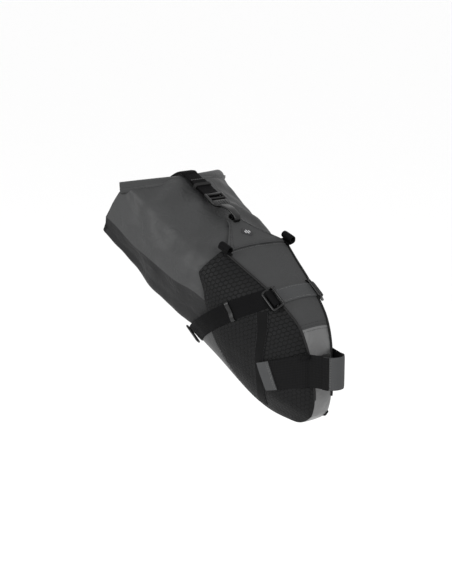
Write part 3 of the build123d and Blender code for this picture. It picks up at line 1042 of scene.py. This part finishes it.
@dataclass
class DryBag(Part):
    """The roll-top dry bag: its two shells, its tail, the rolled mouth and the strap over it."""

    wall: float = 1.5

    ROWS = (
        (38, -48, (1, -49), (2, -53), (2.5, -58), (1.2, -66)),
        (50, -8, (12, -12), (24, -28), (30, -54), (15, -96)),
        (75, 10, (20, 6), (37, -14), (45, -50), (26, -109)),
        (105, 14, (27, 10), (45, -12), (56, -46), (34, -111)),
        (140, 15, (34, 11), (53, -11), (62, -42), (40, -109)),
        (175, 17, (43, 12), (63, -10), (73, -41), (49, -110)),
        (205, 18.5, (51, 12), (73, -10), (82, -42.5), (56, -112)),
        (235, 21, (58, 7), (79, -16), (88, -53), (64, -113.5)),
        (265, 19.5, (61, 0), (81, -22), (89.5, -61), (67, -117)),
        (300, 14.5, (64, -5), (83, -27), (90, -70.5), (71, -118.5)),
        (335, 9.5, (68, -9), (85, -32), (90.5, -80), (75, -116.5)),
    )
    TAIL = (
        ((358, 0, 7.5), (372, 72, -14), (378, 88, -34), (374, 94, -82), (368, 82, -114), (366, 0, -115)),
        ((370, 0, 6.0), (386, 75, -18), (397, 92, -34), (398, 96, -86), (389, 86, -113), (388, 0, -114)),
    )

    def loops(self) -> np.ndarray:
        """Control loops: top, edge, upper, crease, floor corner and floor middle of each row."""
        rows = []
        for s, top, edge, upper, crease, floor in self.ROWS:
            ring = ((0, top), edge, upper, crease, floor, (0, floor[1] - 1.5))
            rows.append([(s, *point) for point in ring])
        rows += [list(row_) for row_ in self.TAIL]
        return smooth(np.array(rows, float), 180)

    def wrinkled(self, grid: np.ndarray, amount: float, seed: float) -> np.ndarray:
        """Adds soft dents and creases to a grid of places."""
        out = normals_of(grid, None)
        if (out[..., 1] * grid[..., 1]).mean() < 0:
            out = -out
        slant = grid[..., 0] + 0.7 * np.abs(grid[..., 1]) - 0.5 * grid[..., 2]
        lean = np.sin(slant * 0.085 + ripple(grid, 60, seed))
        dents = ripple(grid, 55, seed) * 1.5 + ripple(grid, 21, seed + 4) * 0.6 + lean * 0.8
        fade = np.clip((grid[..., 0] - 190) / 60, 0.15, 1) * np.clip((385 - grid[..., 0]) / 30, 0.25, 1)
        rim = np.clip(np.arange(grid.shape[1]) / 6, 0, 1)
        rim = np.minimum(rim, rim[::-1])[None]
        return grid + out * (amount * dents * fade * rim)[..., None]

    def tucked(self, grid: np.ndarray) -> np.ndarray:
        """Draws the part under the holster inwards, clear of its panels."""
        u = grid[..., 2]
        side, skirt = np.interp(u, SIDE_REAR_U, SIDE_REAR_S), np.interp(u, SKIRT_REAR_U, SKIRT_REAR_S)
        line = np.where(u > -62, side, skirt)
        cover = np.clip((line + 10 - grid[..., 0]) / 16, 0, 1)
        cover = cover**2 * (3 - 2 * cover)
        result = grid.copy()
        result[..., 1] -= np.sign(grid[..., 1]) * np.minimum(5.0 * cover, np.abs(grid[..., 1]) * 0.2)
        return result

    def shell(self, name: str, slot: str, grid: np.ndarray, outward: Sequence, *nodes: str) -> None:
        """Makes one wall whose outer face is a grid of places (s, y, u)."""
        places = row(grid)
        out = normals_of(places, outward)
        self.sheet(name, "dry_bag", slot, places, out, self.wall, -self.wall, nodes, soft=0.0)

    def build(self) -> None:
        """Makes every piece of the dry bag."""
        loops = self.loops()
        flip = np.array((1, -1, 1))
        upper_line = np.concatenate([loops[:, 3:0:-1] * flip, loops[:, :4]], 1)
        upper = np.stack([smooth(loop, 97) for loop in upper_line])
        swell = mix(loops[:, 3:4], loops[:, 4:5], 0.5) + np.array((0, 3.0, 0))
        lower_half = np.concatenate([loops[:, 3:4], swell, loops[:, 4:6]], 1)
        lower_line = np.concatenate([lower_half, lower_half[:, 2::-1] * flip], 1)
        lower = np.stack([smooth(loop, 97) for loop in lower_line])
        upper = self.tucked(self.wrinkled(upper, 2.1, 2.2))
        lower = self.tucked(self.wrinkled(lower, 1.3, 6.1))
        self.shell("upper_shell", "coated_nylon", upper, (0.3, 0, 1), "drybag_upper_shell")
        # The lower shell takes the darker copy of the coated nylon, which is painted shade.
        self.shell("lower_shell", "coated_nylon_dark", lower, (0, 0, -1), "drybag_lower_shell")
        self.tail(upper[-1], lower[-1][::-1])
        self.mouth()

    def tail(self, over: np.ndarray, under: np.ndarray) -> None:
        """Makes the tail wall between the ends of the two shells."""
        t = np.linspace(0, 1, 40)[:, None, None]
        wall = mix(over[None], under[None], t)
        w = np.linspace(-1, 1, wall.shape[1])[None, :, None]
        wall[..., 0] += (7.0 * np.sin(math.pi * t) * (1 - w**2))[..., 0]
        wall[..., 0] += ripple(wall, 40, 8.0) * 1.2 * (np.sin(math.pi * t) * (1 - w**2))[..., 0]
        # The tail wall also takes the darker copy of the coated nylon, which is painted shade.
        self.shell("tail_wall", "coated_nylon_dark", wall, row([1, 0, 0]))

    def mouth(self) -> None:
        """Makes the rolled mouth, its stiffener and the strap over it."""
        t = np.linspace(-1, 1, 61)
        arc = np.stack([371 + 29 * np.abs(t) ** 1.9, 92 * t, -1.5 - 29.5 * np.abs(t) ** 2.0], -1)
        path = row(arc)
        ahead = unit(np.gradient(path, axis=0))
        back = np.broadcast_to(row([1, 0, 0]) / MM, path.shape)
        side = unit(back - ahead * (back * ahead).sum(-1, keepdims=True))
        up = np.cross(side, ahead)
        up = up * np.sign(up[:, 2:].mean())
        turn = np.linspace(0, 2 * math.pi * 2.4, 80)
        size = np.linspace(1.0, 0.36, 80)[:, None]
        coil = np.stack([10.8 * np.cos(turn + 2.2), 7.4 * np.sin(turn + 2.2)], -1)
        inner = coil * (size - 0.11)
        section = np.concatenate([coil * size, inner[::-1]])
        roll = sweep("mouth_roll", path, side, up, section, self.look["coated_nylon"])
        fit(roll, "dry_bag", "coated_nylon", "mouth_roll")
        strip = sweep("roll_stiffener", path[2:-2], side[2:-2], up[2:-2], rounded(6.6, 1.4, 0.6),
                      self.look["stiffener_sheet"])
        fit(strip, "dry_bag", "stiffener_sheet", "roll_stiffener")
        line = smooth([(369, 7.6), (377, 7.6), (384, 2.0), (390, -8), (396, -22), (400, -40),
                       (401.5, -62)], 60)
        places = row(web_grid(line, WEB_WIDTH))
        out = normals_of(places, row([1, 0, 0.5]))
        self.sheet("rear_strap", "dry_bag", "webbing", places, out, WEB_THICK, nodes=["rear_strap"])


# ---------------------------------------------------------------------------------------------- straps


def web_grid(line: np.ndarray, width: float, across: int = 9) -> np.ndarray:
    """Spreads a line (s, u) of the side view to a web's width, from y right to y left."""
    y = np.linspace(-width / 2, width / 2, across)
    spread = np.repeat(y[None], len(line), 0)
    return np.stack([np.repeat(line[:, :1], across, 1), spread, np.repeat(line[:, 1:], across, 1)], -1)


def side_band(line: Sequence, width: float, count: int, across: int = 9) -> np.ndarray:
    """A band of one width along a bent line on the bag's side.

    Args:
        line: Its middle line, as (s, u).
        width: Its width in millimetres.
        count: Points along it.
        across: Points across it.

    Returns:
        Flat places (s, 0, u) to drop on the side.
    """
    middle = even(smooth(line, 60), count)
    ahead = unit(np.gradient(middle, axis=0))
    beside = np.stack([-ahead[:, 1], ahead[:, 0]], -1)
    w = np.linspace(-width / 2, width / 2, across)
    flat = middle[:, None] + beside[:, None] * w[None, :, None]
    return np.stack([flat[..., 0], np.zeros(flat.shape[:2]), flat[..., 1]], -1)


@dataclass
class SideStraps(Part):
    """The straps that squeeze the bag's sides, with their locks, keepers and rings."""

    skin: Skin
    threaded: float = 24.0

    def drop(self, flat: np.ndarray, sign: float) -> tuple[np.ndarray, np.ndarray]:
        """Drops a flat band on one side."""
        return self.skin.lay(row(flat + np.array((0, sign * 60.0, 0))), (0, -sign, 0))

    def build(self) -> None:
        """Makes both sides, the band across the top, the web under the floor and the light loop."""
        for sign, label in SIDES:
            self.strap(sign, label)
            self.lock(sign, label)
            self.ring(sign, label)
        w = np.linspace(-33, 33, 45)
        s = np.linspace(101.5, 124.5, 11)
        band = np.stack(np.broadcast_arrays(s[None], w[:, None], 60.0), -1)
        places, out = self.skin.lay(row(band), row([0, 0, -1]))
        self.sheet("cross_band", "holster", "grey_webbing", places, out, WEB_THICK, 0.1, ["cross_band"])
        for number, j in enumerate((1, -2)):
            above = places[:, j] + row([0, 0, 1.6])
            self.seam(f"band_seam_{number}", "holster", "grey_webbing", above, out[:, j], radius=0.3)
        w, s = np.linspace(-58, 58, 60), np.linspace(175, 196, 9)
        web = np.stack(np.broadcast_arrays(s[None], w[:, None], -160.0), -1)
        places, out = self.skin.lay(row(web), row([0, 0, 1]))
        self.sheet("bottom_web", "holster", "webbing", places, out, WEB_THICK, 0.1, ["bottom_web"])
        line = smooth([(150, -119.5), (153, -126), (159, -134), (170, -142), (181, -145), (189, -139),
                       (193, -129), (195, -119.5)], 60)
        places = row(web_grid(line, WEB_WIDTH))
        out = normals_of(places, row([0, 0, -1]))
        self.sheet("light_loop", "holster", "webbing", places, out, WEB_THICK, -0.8, ["light_loop"])

    def strap(self, sign: float, label: str) -> None:
        """Makes one side strap, the strip in front of it and its keeper."""
        strap = side_band(((118, 27), (126, 11), (142, -20), (160, -60), (184.5, -116)), WEB_WIDTH, 80)
        places, out = self.drop(strap, sign)
        self.sheet(f"side_strap_{label}", "holster", "webbing", places, out, WEB_THICK, 0.2,
                   [f"compression_strap_{label}"])
        strip = side_band(((110, 8), (92, -14), (72, -52), (54, -86), (45, -110)), 14.0, 70)
        places, out = self.drop(strip, sign)
        self.sheet(f"side_strip_{label}", "holster", "reinforcement", places, out, 0.8, 0.1,
                   [f"side_reinforcement_{label}"])
        for number, j in enumerate((0, -1)):
            self.seam(f"strip_seam_{label}_{number}", "holster", "reinforcement",
                      places[:, j] + out[:, j] * 0.6 * MM, out[:, j], "thread")
        keeper = side_band(((140.6, -17.5), (143.2, -22.5)), WEB_WIDTH + 4, 9, 21)
        places, out = self.drop(keeper, sign)
        rise = (1 - np.abs(np.linspace(-1, 1, 21)) ** 8)[None, :, None]
        places = places + out * rise * 1.7 * MM
        self.sheet(f"strap_keeper_{label}", "holster", "buckle_plastic", places, out, 1.5, 0.3,
                   [f"strap_keeper_{label}"], soft=0.6)

    def lock(self, sign: float, label: str) -> None:
        """Makes one ladder lock and the webbing threaded through it."""
        place = own_plane(113.0, sign * 39.2, 29.8, 46.0 * sign)
        plastic = self.look["buckle_plastic"]
        out = -sign
        x = np.linspace(-13.8, 13.8, 25)
        bars = []
        corner = rounded(31.0, 16.6, 3.2, 6)
        rim = np.concatenate([corner, np.zeros((len(corner), 1))], 1)
        rim[:, 2] = -0.9 * (rim[:, 0] / 15.5) ** 2
        bars.append(self.bar(rim, place, rounded(3.2, 3.8, 1.3), plastic, True))
        for across, size in ((0.0, (3.0, 3.6)), (out * -8.3, (3.0, 4.4))):
            line = np.stack([x, np.full(25, across), -0.9 * (x / 15.5) ** 2], -1)
            bars.append(self.bar(line, place, rounded(*size, 1.2), plastic, False))
        fit(joined(f"ladder_lock_{label}", bars), f"lock_{label}", "buckle_plastic", f"ladder_lock_{label}")
        line = np.array([(-13.0, -2.9), (-6.0, -2.9), (-3.1, 2.9), (1.6, 2.9), (4.4, -0.6)]) * (-out, 1)
        line = smooth(line[::-1] if sign > 0 else line, 40)
        places = placed(web_grid(line, self.threaded)[..., [1, 0, 2]], place)
        outward = normals_of(places, row([0, sign, 0.6]))
        self.sheet(f"lock_webbing_{label}", f"lock_{label}", "webbing", places, outward, 1.2, -0.6,
                   [f"lock_webbing_{label}"])

    def bar(self, line: np.ndarray, place: Matrix, section: np.ndarray, material: bpy.types.Material,
            looped: bool) -> bpy.types.Object:
        """A rounded bar that follows a line in a plate's own plane."""
        path = placed(line, place)
        ahead = np.roll(path, -1, 0) - np.roll(path, 1, 0) if looped else np.gradient(path, axis=0)
        up = np.broadcast_to(np.array(place.to_3x3() @ Vector((0, 0, 1))), path.shape)
        side = unit(np.cross(ahead, up))
        return sweep("bar", path, side, up, section, material, looped)

    def ring(self, sign: float, label: str) -> None:
        """Makes one rectangular ring under the floor's edge."""
        place = own_plane(186.0, sign * 58.6, -117.0, 140.0 * sign)
        corner = rounded(28.5, 10.2, 2.5, 6)
        line = np.concatenate([corner, np.zeros((len(corner), 1))], 1)
        ring = self.bar(line, place, rounded(2.6, 2.8, 1.2), self.look["buckle_plastic"], True)
        fit(ring, "holster", "buckle_plastic", f"bottom_ring_{label}")


@dataclass
class Tongue(Part):
    """The tongue that reaches back over the dry bag, with its badge and its loop."""

    def height(self, s: np.ndarray, y: np.ndarray) -> np.ndarray:
        """The tongue's height over the bag's slope."""
        return np.interp(s, (206, 213, 226, 240, 268), (32.0, 31.5, 28.2, 25.2, 21.6)) - 0.0021 * y**2

    def build(self) -> None:
        """Makes the tongue, its seams, the badge and the loop."""
        line = smooth([(206, 50), (212, 49), (222, 41), (240, 26), (256, 14.5), (264, 11.5), (266, 9)], 60)
        w = np.linspace(-1, 1, 41)
        s = np.repeat(line[:, :1], 41, 1)
        y = line[:, 1:] * w[None]
        grid = np.stack([s, y, self.height(s, y)], -1)
        grid[..., 2] += ripple(grid, 24, 4.4) * 0.5 * (1 - w[None] ** 6)
        places = row(grid)
        out = normals_of(places, (0, 0, 1))
        self.sheet("tongue", "holster", "woven_nylon", places, out, WEB_THICK, nodes=["tongue"])
        lifted = places + out * 1.5 * MM
        for number, j in enumerate((2, 4, -3, -5)):
            self.seam(f"tongue_seam_{number}", "holster", "woven_nylon", lifted[3:-2, j], out[3:-2, j],
                      "thread")
        self.seam("tongue_seam_front", "holster", "woven_nylon", lifted[4, 3:-3], out[4, 3:-3], "thread")
        self.badge()
        angle = np.linspace(0, 2 * math.pi, 36, endpoint=False)
        round_ = np.stack([np.cos(angle), np.sin(angle)], -1)
        ring = np.sign(round_) * np.abs(round_) ** 0.6
        path = row(np.stack([266.7 + 3.7 * ring[:, 0], np.zeros(36), 25.4 + 2.9 * ring[:, 1]], -1))
        side = np.broadcast_to(np.array((0.0, 1.0, 0.0)), path.shape)
        ahead = unit(np.roll(path, -1, 0) - np.roll(path, 1, 0))
        loop = sweep("tongue_loop", path, side, np.cross(ahead, side), rounded(11.6, 1.3, 0.5),
                     self.look["webbing"], True)
        fit(loop, "holster", "webbing", "tongue_loop")

    def badge(self) -> None:
        """Makes the lozenge badge, which carries three plain bars."""
        angle = np.linspace(0, 2 * math.pi, 48, endpoint=False)
        shape = np.stack([np.cos(angle), np.sin(angle)], -1)
        shape = shape / (np.abs(shape) ** 1.3).sum(-1, keepdims=True) ** (1 / 1.3) * (10.5, 9.8)
        place = own_plane(233.0, 0, 28.6, 0.0, 12.0)
        base = moulded("badge", shape, place, 1.4, 0.5, self.look["badge"])
        fit(base, "holster", "badge", "badge_patch")
        bars = []
        for across, length in ((-3.4, 5.0), (0.0, 9.0), (3.4, 5.0)):
            bar = rounded(length, 1.5, 0.7) + (0, across)
            raised = own_plane(233.0, 0, 29.35, 0.0, 12.0)
            bars.append(moulded("bar", bar, raised, 0.5, 0.2, self.look["badge_mark"]))
        fit(joined("badge_mark", bars), "holster", "badge")


@dataclass
class SeatpostStrap(Part):
    """The strap round the seatpost, with its anchor on the left and its flap on the right."""

    skin: Skin
    height: float = 45.0

    LINES = (
        ((-1.4, 15.0, 22.3), (-1.4, 15.0, -22.3)), ((-8, 17.3, 22.3), (-8, 17.3, -22.3)),
        ((-20, 21.6, 22.2), (-20, 21.6, -22.4)), ((-24, 26.2, 22.0), (-24, 25.8, -23.0)),
        ((-30, 31.4, 20.0), (-30, 28.6, -24.5)), ((-40, 36.4, 17.0), (-40, 29.4, -27.0)),
        ((-60, 40.8, 10.5), (-60, 34.4, -32.0)), ((-79, 45.4, 4.5), (-70, 38.2, -34.5)),
    )
    GRIP = (((-70.5, 43.4, 7.2), (-62.0, 35.2, -32.6)), ((-79, 45.5, 4.4), (-70, 38.4, -34.6)),
            ((-90, 48.9, 1), (-80, 42.3, -37)))

    def grid(self, lines: Sequence, count: int, sign: float) -> np.ndarray:
        """A grid that runs back between an upper and a lower line."""
        upper, lower = np.moveaxis(smooth(lines, count), 1, 0)
        t = np.linspace(0, 1, 17)[None, :, None]
        return mix(upper[:, None], lower[:, None], t) * (1, sign, 1) * MM

    def clear(self, grid: np.ndarray, gap: float) -> np.ndarray:
        """Keeps a right-hand grid clear of the bag's side by a gap in millimetres."""
        on_skin, _ = self.skin.lay(grid - np.array((0, 0.05, 0)), (0, 1, 0))
        behind = grid[..., 0] < -0.020
        limit = np.where(behind & (on_skin[..., 1] < 0), on_skin[..., 1] - gap * MM, 0.0)
        result = grid.copy()
        result[..., 1] = np.minimum(grid[..., 1], limit)
        return result

    def build(self) -> None:
        """Makes the wrap, the flap, the grip and the anchor."""
        z = np.linspace(-22.3, 22.3, 17)
        for name, slot, node, radius, thick, reach in (
                ("post_wrap_inner", "hook_and_loop", "seatpost_strap_inner", 13.65, 1.4, 88),
                ("post_wrap_outer", "grey_webbing", "seatpost_strap_outer", 15.2, 1.4, 90)):
            angle = np.radians(np.linspace(-reach, reach, 70))
            way = np.stack([np.cos(angle), np.sin(angle), np.zeros(70)], -1)
            out = np.repeat(way[:, None], 17, 1)
            places = out * radius * MM
            places[..., 2] = z * MM
            self.sheet(name, "holster", slot, places, out, thick, nodes=[node])
        for number, degrees in enumerate((-55, -50, 86, 76)):
            turn = math.radians(degrees)
            way = np.array((math.cos(turn), math.sin(turn), 0.0))
            seam = np.repeat(way[None] * 16.6 * MM, 40, 0)
            seam[:, 2] = np.linspace(-21.5, 21.5, 40) * MM
            self.seam(f"wrap_seam_{number}", "holster", "grey_webbing", seam, np.repeat(way[None], 40, 0))
        flap = self.clear(self.grid(self.LINES, 60, RIGHT), 0.9)
        turn = np.radians(np.linspace(-58, -90, 14))
        way = np.stack([np.cos(turn), np.sin(turn), np.zeros(14)], -1)
        out = np.repeat(way[:, None], 17, 1)
        places = out * 16.7 * MM
        places[..., 2] = z * MM
        self.sheet("post_flap_root", "holster", "hook_and_loop", places, out, 0.9)
        flap[..., 1] -= (0.25 * np.sin(flap[..., 0] * 160) * np.clip(-flap[..., 0] / 0.03, 0, 1) * MM)
        out = normals_of(flap, (0, -1, 0))
        piece = thick_sheet("post_flap_web", flap, out, self.look["hook_and_loop"], WEB_THICK)
        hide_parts("seatpost_strap_flap")
        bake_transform(piece)
        tab = self.clear(self.grid(self.GRIP, 16, RIGHT), 2.7)
        out = normals_of(tab, (0, -1, 0))
        self.sheet("grip_tab", "post_flap", "grey_webbing", tab, out, 1.7, 0.1, ["seatpost_grip_tab"])
        for number, k in enumerate((1, 3)):
            self.seam(f"grip_seam_{number}", "post_flap", "grey_webbing", tab[k] + out[k] * 1.7 * MM, out[k])
        self.anchor()

    def anchor(self) -> None:
        """Makes the strap's sewn end on the left of the nose, and the grip pad."""
        lead = self.grid(self.LINES[:7], 50, LEFT)
        on_skin, faces = self.skin.lay(lead + np.array((0, 0.03, 0)), (0, -1, 0))
        near = np.clip((-lead[..., :1] / MM - 20) / 8, 0, 1)
        places = mix(lead, np.where(on_skin[..., 1:2] > 0.01, on_skin, lead), near)
        out = normals_of(places, (0, 1, 0))
        self.sheet("post_anchor", "holster", "webbing", places, out, WEB_THICK, 0.1,
                   ["seatpost_strap_anchor"])
        for number, k in enumerate((-2, -5)):
            self.seam(f"anchor_seam_{number}", "holster", "webbing", places[k] + out[k] * 1.6 * MM, out[k])
        turn = np.radians(np.linspace(180 - 34, 180 + 34, 24))
        face = np.stack([np.cos(turn), np.sin(turn), np.zeros(24)], -1)
        pad = np.repeat(face[:, None], 21, 1) * 13.7 * MM
        pad[..., 2] = np.linspace(-19.5, 19.5, 21) * MM
        ridge = 0.25 * np.cos(np.linspace(0, 14 * math.pi, 21))[None, :, None]
        out = np.repeat(face[:, None], 21, 1)
        self.sheet("grip_pad", "holster", "grip_rubber", pad + out * (ridge + 0.3) * MM, out, 1.6,
                   nodes=["seatpost_pad"])


@dataclass
class RailStraps(Part):
    """The straps at the top corners that close round the saddle rails."""

    def build(self) -> None:
        """Makes both straps, each with a sewn lower half and a flap over the rail."""
        axis = np.array((math.cos(RAIL_SLOPE), 0, -math.sin(RAIL_SLOPE)))
        up = np.array((math.sin(RAIL_SLOPE), 0, math.cos(RAIL_SLOPE)))
        for sign, label in SIDES:
            centre = row([209.0, sign * 57.0, 33.0])
            aside = np.array((0, sign, 0.0))
            along = np.linspace(-9.8, 9.8, 15)[None, :, None] * axis * MM
            for body, name, first, last in (("holster", f"rail_strap_{label}", -178, -2),
                                            (f"rail_flap_{label}", f"rail_flap_{label}", 2, 178)):
                angle = np.radians(np.linspace(first, last, 40))[:, None]
                way = np.cos(angle) * aside + np.sin(angle) * up
                out = np.repeat(way[:, None], 15, 1)
                places = centre + out * 3.65 * MM + along
                self.sheet(name, body, "webbing", places, out, 1.5, nodes=[name])
            tail = smooth([(5.0, -0.5), (5.2, -3.0), (3.4, -5.6), (-1.5, -7.4), (-6.5, -8.0)], 30)
            line = centre + (tail[:, :1] * aside + tail[:, 1:] * up) * MM
            places = line[:, None] + along
            out = normals_of(places, (0, sign * 0.4, 1))
            self.sheet(f"rail_tail_{label}", "holster", "webbing", places, out, 1.4)


@dataclass
class TailStrap(Part):
    """The strap that turns over the tail and hooks the tongue's loop."""

    def web(self, line: Sequence, name: str, node: str) -> tuple[np.ndarray, np.ndarray]:
        """Makes a length of webbing along a line of the side view.

        Args:
            line: Its middle line, as (s, u).
            name: The piece's name.
            node: The CAD node that it replaces.

        Returns:
            Its frame points and outward directions.
        """
        places = row(web_grid(smooth(line, 50), WEB_WIDTH))
        out = normals_of(places, row([0, 0, 1]))
        self.sheet(name, "tail_strap", "webbing", places, out, WEB_THICK, -WEB_THICK / 2, [node])
        return places, out

    def build(self) -> None:
        """Makes the webbing, its doubled end, the keeper and the hook."""
        self.web([(371.5, 9.0), (364, 9.9), (350, 11.4), (334, 13.6), (318, 16.2), (313, 18.4)], "tail_web",
                 "tail_strap_web")
        end, out = self.web([(357, 12.8), (350, 13.8), (336, 15.7), (322, 18.2)], "tail_web_end",
                            "tail_strap_end")
        for number, k in enumerate((2, 5)):
            self.seam(f"tail_seam_{number}", "tail_strap", "webbing", end[k] + out[k] * 0.8 * MM, out[k])
        middle = row([343, 0, 13.4])
        corner = rounded(27.4, 6.4, 2.4, 6)
        lean = row([math.sin(0.14), 0, math.cos(0.14)]) / MM
        path = middle + (corner[:, :1] * np.array((0, 1.0, 0)) + corner[:, 1:] * lean) * MM
        wide = np.broadcast_to(row([math.cos(0.14), 0, -math.sin(0.14)]) / MM, path.shape)
        ahead = unit(np.roll(path, -1, 0) - np.roll(path, 1, 0))
        keeper = sweep("tail_keeper", path, wide, np.cross(ahead, wide), rounded(6.0, 1.2, 0.5),
                       self.look["elastic"], True)
        fit(keeper, "tail_strap", "elastic", "tail_strap_keeper")
        self.hook()

    def hook(self) -> None:
        """Makes the hook buckle: a frame with two bars, a shoulder and a claw."""
        plastic = self.look["buckle_plastic"]
        place = own_plane(305.0, 0, 21.4, 0.0, 7.5)
        parts = []
        for x, size in ((12.6, 4.0), (3.2, 2.8)):
            parts.append(moulded("bar", rounded(size, 28.0, 1.6) + (x, 0), place, 4.2, 1.0, plastic))
        for y in (-14.2, 14.2):
            parts.append(moulded("bar", rounded(22.0, 3.6, 1.6) + (4.0, y), place, 4.6, 1.1, plastic))
        shoulder = np.array([(-1.6, -15.9), (-1.6, 15.9), (-8.0, 15.6), (-12.5, 12.5), (-15.0, 7.5),
                             (-15.0, -7.5), (-12.5, -12.5), (-8.0, -15.6)], float)
        edges = zip(shoulder, np.roll(shoulder, -1, 0))
        dense = np.concatenate([np.linspace(a, b, 5)[:-1] for a, b in edges])
        parts.append(moulded("bar", dense, place, 4.6, 1.2, plastic))
        raised = own_plane(305.0, 0, 23.8, 0.0, 7.5)
        for y in (-8.0, -4.0, 0.0, 4.0, 8.0):
            parts.append(moulded("bar", rounded(8.0, 1.3, 0.6) + (-8.0, y), raised, 0.8, 0.3, plastic))
        line = smooth([(293, 0, 23.2), (284, 0, 27.6), (276, 0, 30.6), (268, 0, 31.4), (261, 0, 31.2),
                       (258.3, 0, 28.6), (258.2, 0, 24.4)], 40)
        path = row(line)
        side = np.broadcast_to(np.array((0.0, 1.0, 0.0)), path.shape)
        ahead = unit(np.gradient(path, axis=0))
        taper = np.interp(np.linspace(0, 1, 40), (0, 0.5, 1), (1.35, 1.0, 0.92))[:, None]
        neck = sweep("bar", path, side * taper, np.cross(ahead, side), rounded(11.0, 3.6, 1.3), plastic)
        parts.append(neck)
        fit(joined("tail_hook", parts), "tail_strap", "buckle_plastic", "tail_hook")


# ---------------------------------------------------------------------------------------------- studio


@dataclass
class Studio:
    """The camera, the soft lights and the pale floor."""

    target: tuple = (-0.22525, 0.0068, 0.06365)
    azimuth: float = 50.0
    elevation: float = 13.8
    distance: float = 2.0
    lens: float = 86.3

    def build(self) -> None:
        """Sets up the view, the world, the lights and the floor."""
        scene = bpy.context.scene
        scene.view_settings.view_transform = "Standard"
        azimuth, elevation = math.radians(self.azimuth), math.radians(self.elevation)
        ahead = Vector((-math.sin(azimuth) * math.cos(elevation), math.cos(azimuth) * math.cos(elevation),
                        -math.sin(elevation)))
        camera = bpy.data.objects.new("camera", bpy.data.cameras.new("camera"))
        camera.data.lens = self.lens
        camera.data.sensor_width = 36.0
        camera.data.sensor_fit = "AUTO"
        camera.location = Vector(self.target) - ahead * self.distance
        camera.rotation_euler = ahead.to_track_quat("-Z", "Y").to_euler()
        scene.collection.objects.link(camera)
        scene.camera = camera
        world = bpy.data.worlds.new("studio")
        world.use_nodes = True
        world.node_tree.nodes["Background"].inputs["Color"].default_value = (1.0, 1.0, 1.0, 1.0)
        world.node_tree.nodes["Background"].inputs["Strength"].default_value = 1.0
        scene.world = world
        self.light("side", (-0.5, -1.9, 0.7), 1.0, 22.0)
        self.light("front", (1.6, -0.5, 1.0), 0.7, 16.0)
        self.floor()

    def light(self, name: str, place: Sequence, size: float, power: float) -> None:
        """Adds one soft square light that faces the bag."""
        light = bpy.data.lights.new(name, "AREA")
        light.size = size
        light.energy = power
        lamp = bpy.data.objects.new(name, light)
        lamp.location = place
        lamp.rotation_euler = (Vector(self.target) - Vector(place)).to_track_quat("-Z", "Y").to_euler()
        bpy.context.scene.collection.objects.link(lamp)

    def floor(self) -> None:
        """Adds the pale floor."""
        corners = [(-60, -60, -0.6), (60, -60, -0.6), (60, 60, -0.6), (-60, 60, -0.6)]
        mesh = bpy.data.meshes.new("floor")
        mesh.from_pydata(corners, [], [(0, 1, 2, 3)])
        material = bpy.data.materials.new("Pale floor")
        material.use_nodes = True
        shader = material.node_tree.nodes["Principled BSDF"]
        shader.inputs["Base Color"].default_value = (0.98, 0.98, 0.98, 1.0)
        shader.inputs["Roughness"].default_value = 0.9
        mesh.materials.append(material)
        floor = bpy.data.objects.new("floor", mesh)
        bpy.context.scene.collection.objects.link(floor)


def main() -> None:
    """Builds every piece in order, from the holster out to the studio."""
    logging.basicConfig(level=logging.INFO, format="%(message)s")
    effects = Effects()
    look = {name: finish.material(effects) for name, finish in FINISHES.items()}
    form = HolsterForm()
    skin = form.skin()
    Holster(look, form).build()
    DryBag(look).build()
    SideStraps(look, skin).build()
    Tongue(look).build()
    SeatpostStrap(look, skin).build()
    RailStraps(look).build()
    TailStrap(look).build()
    Studio().build()


if __name__ == "__main__":
    main()
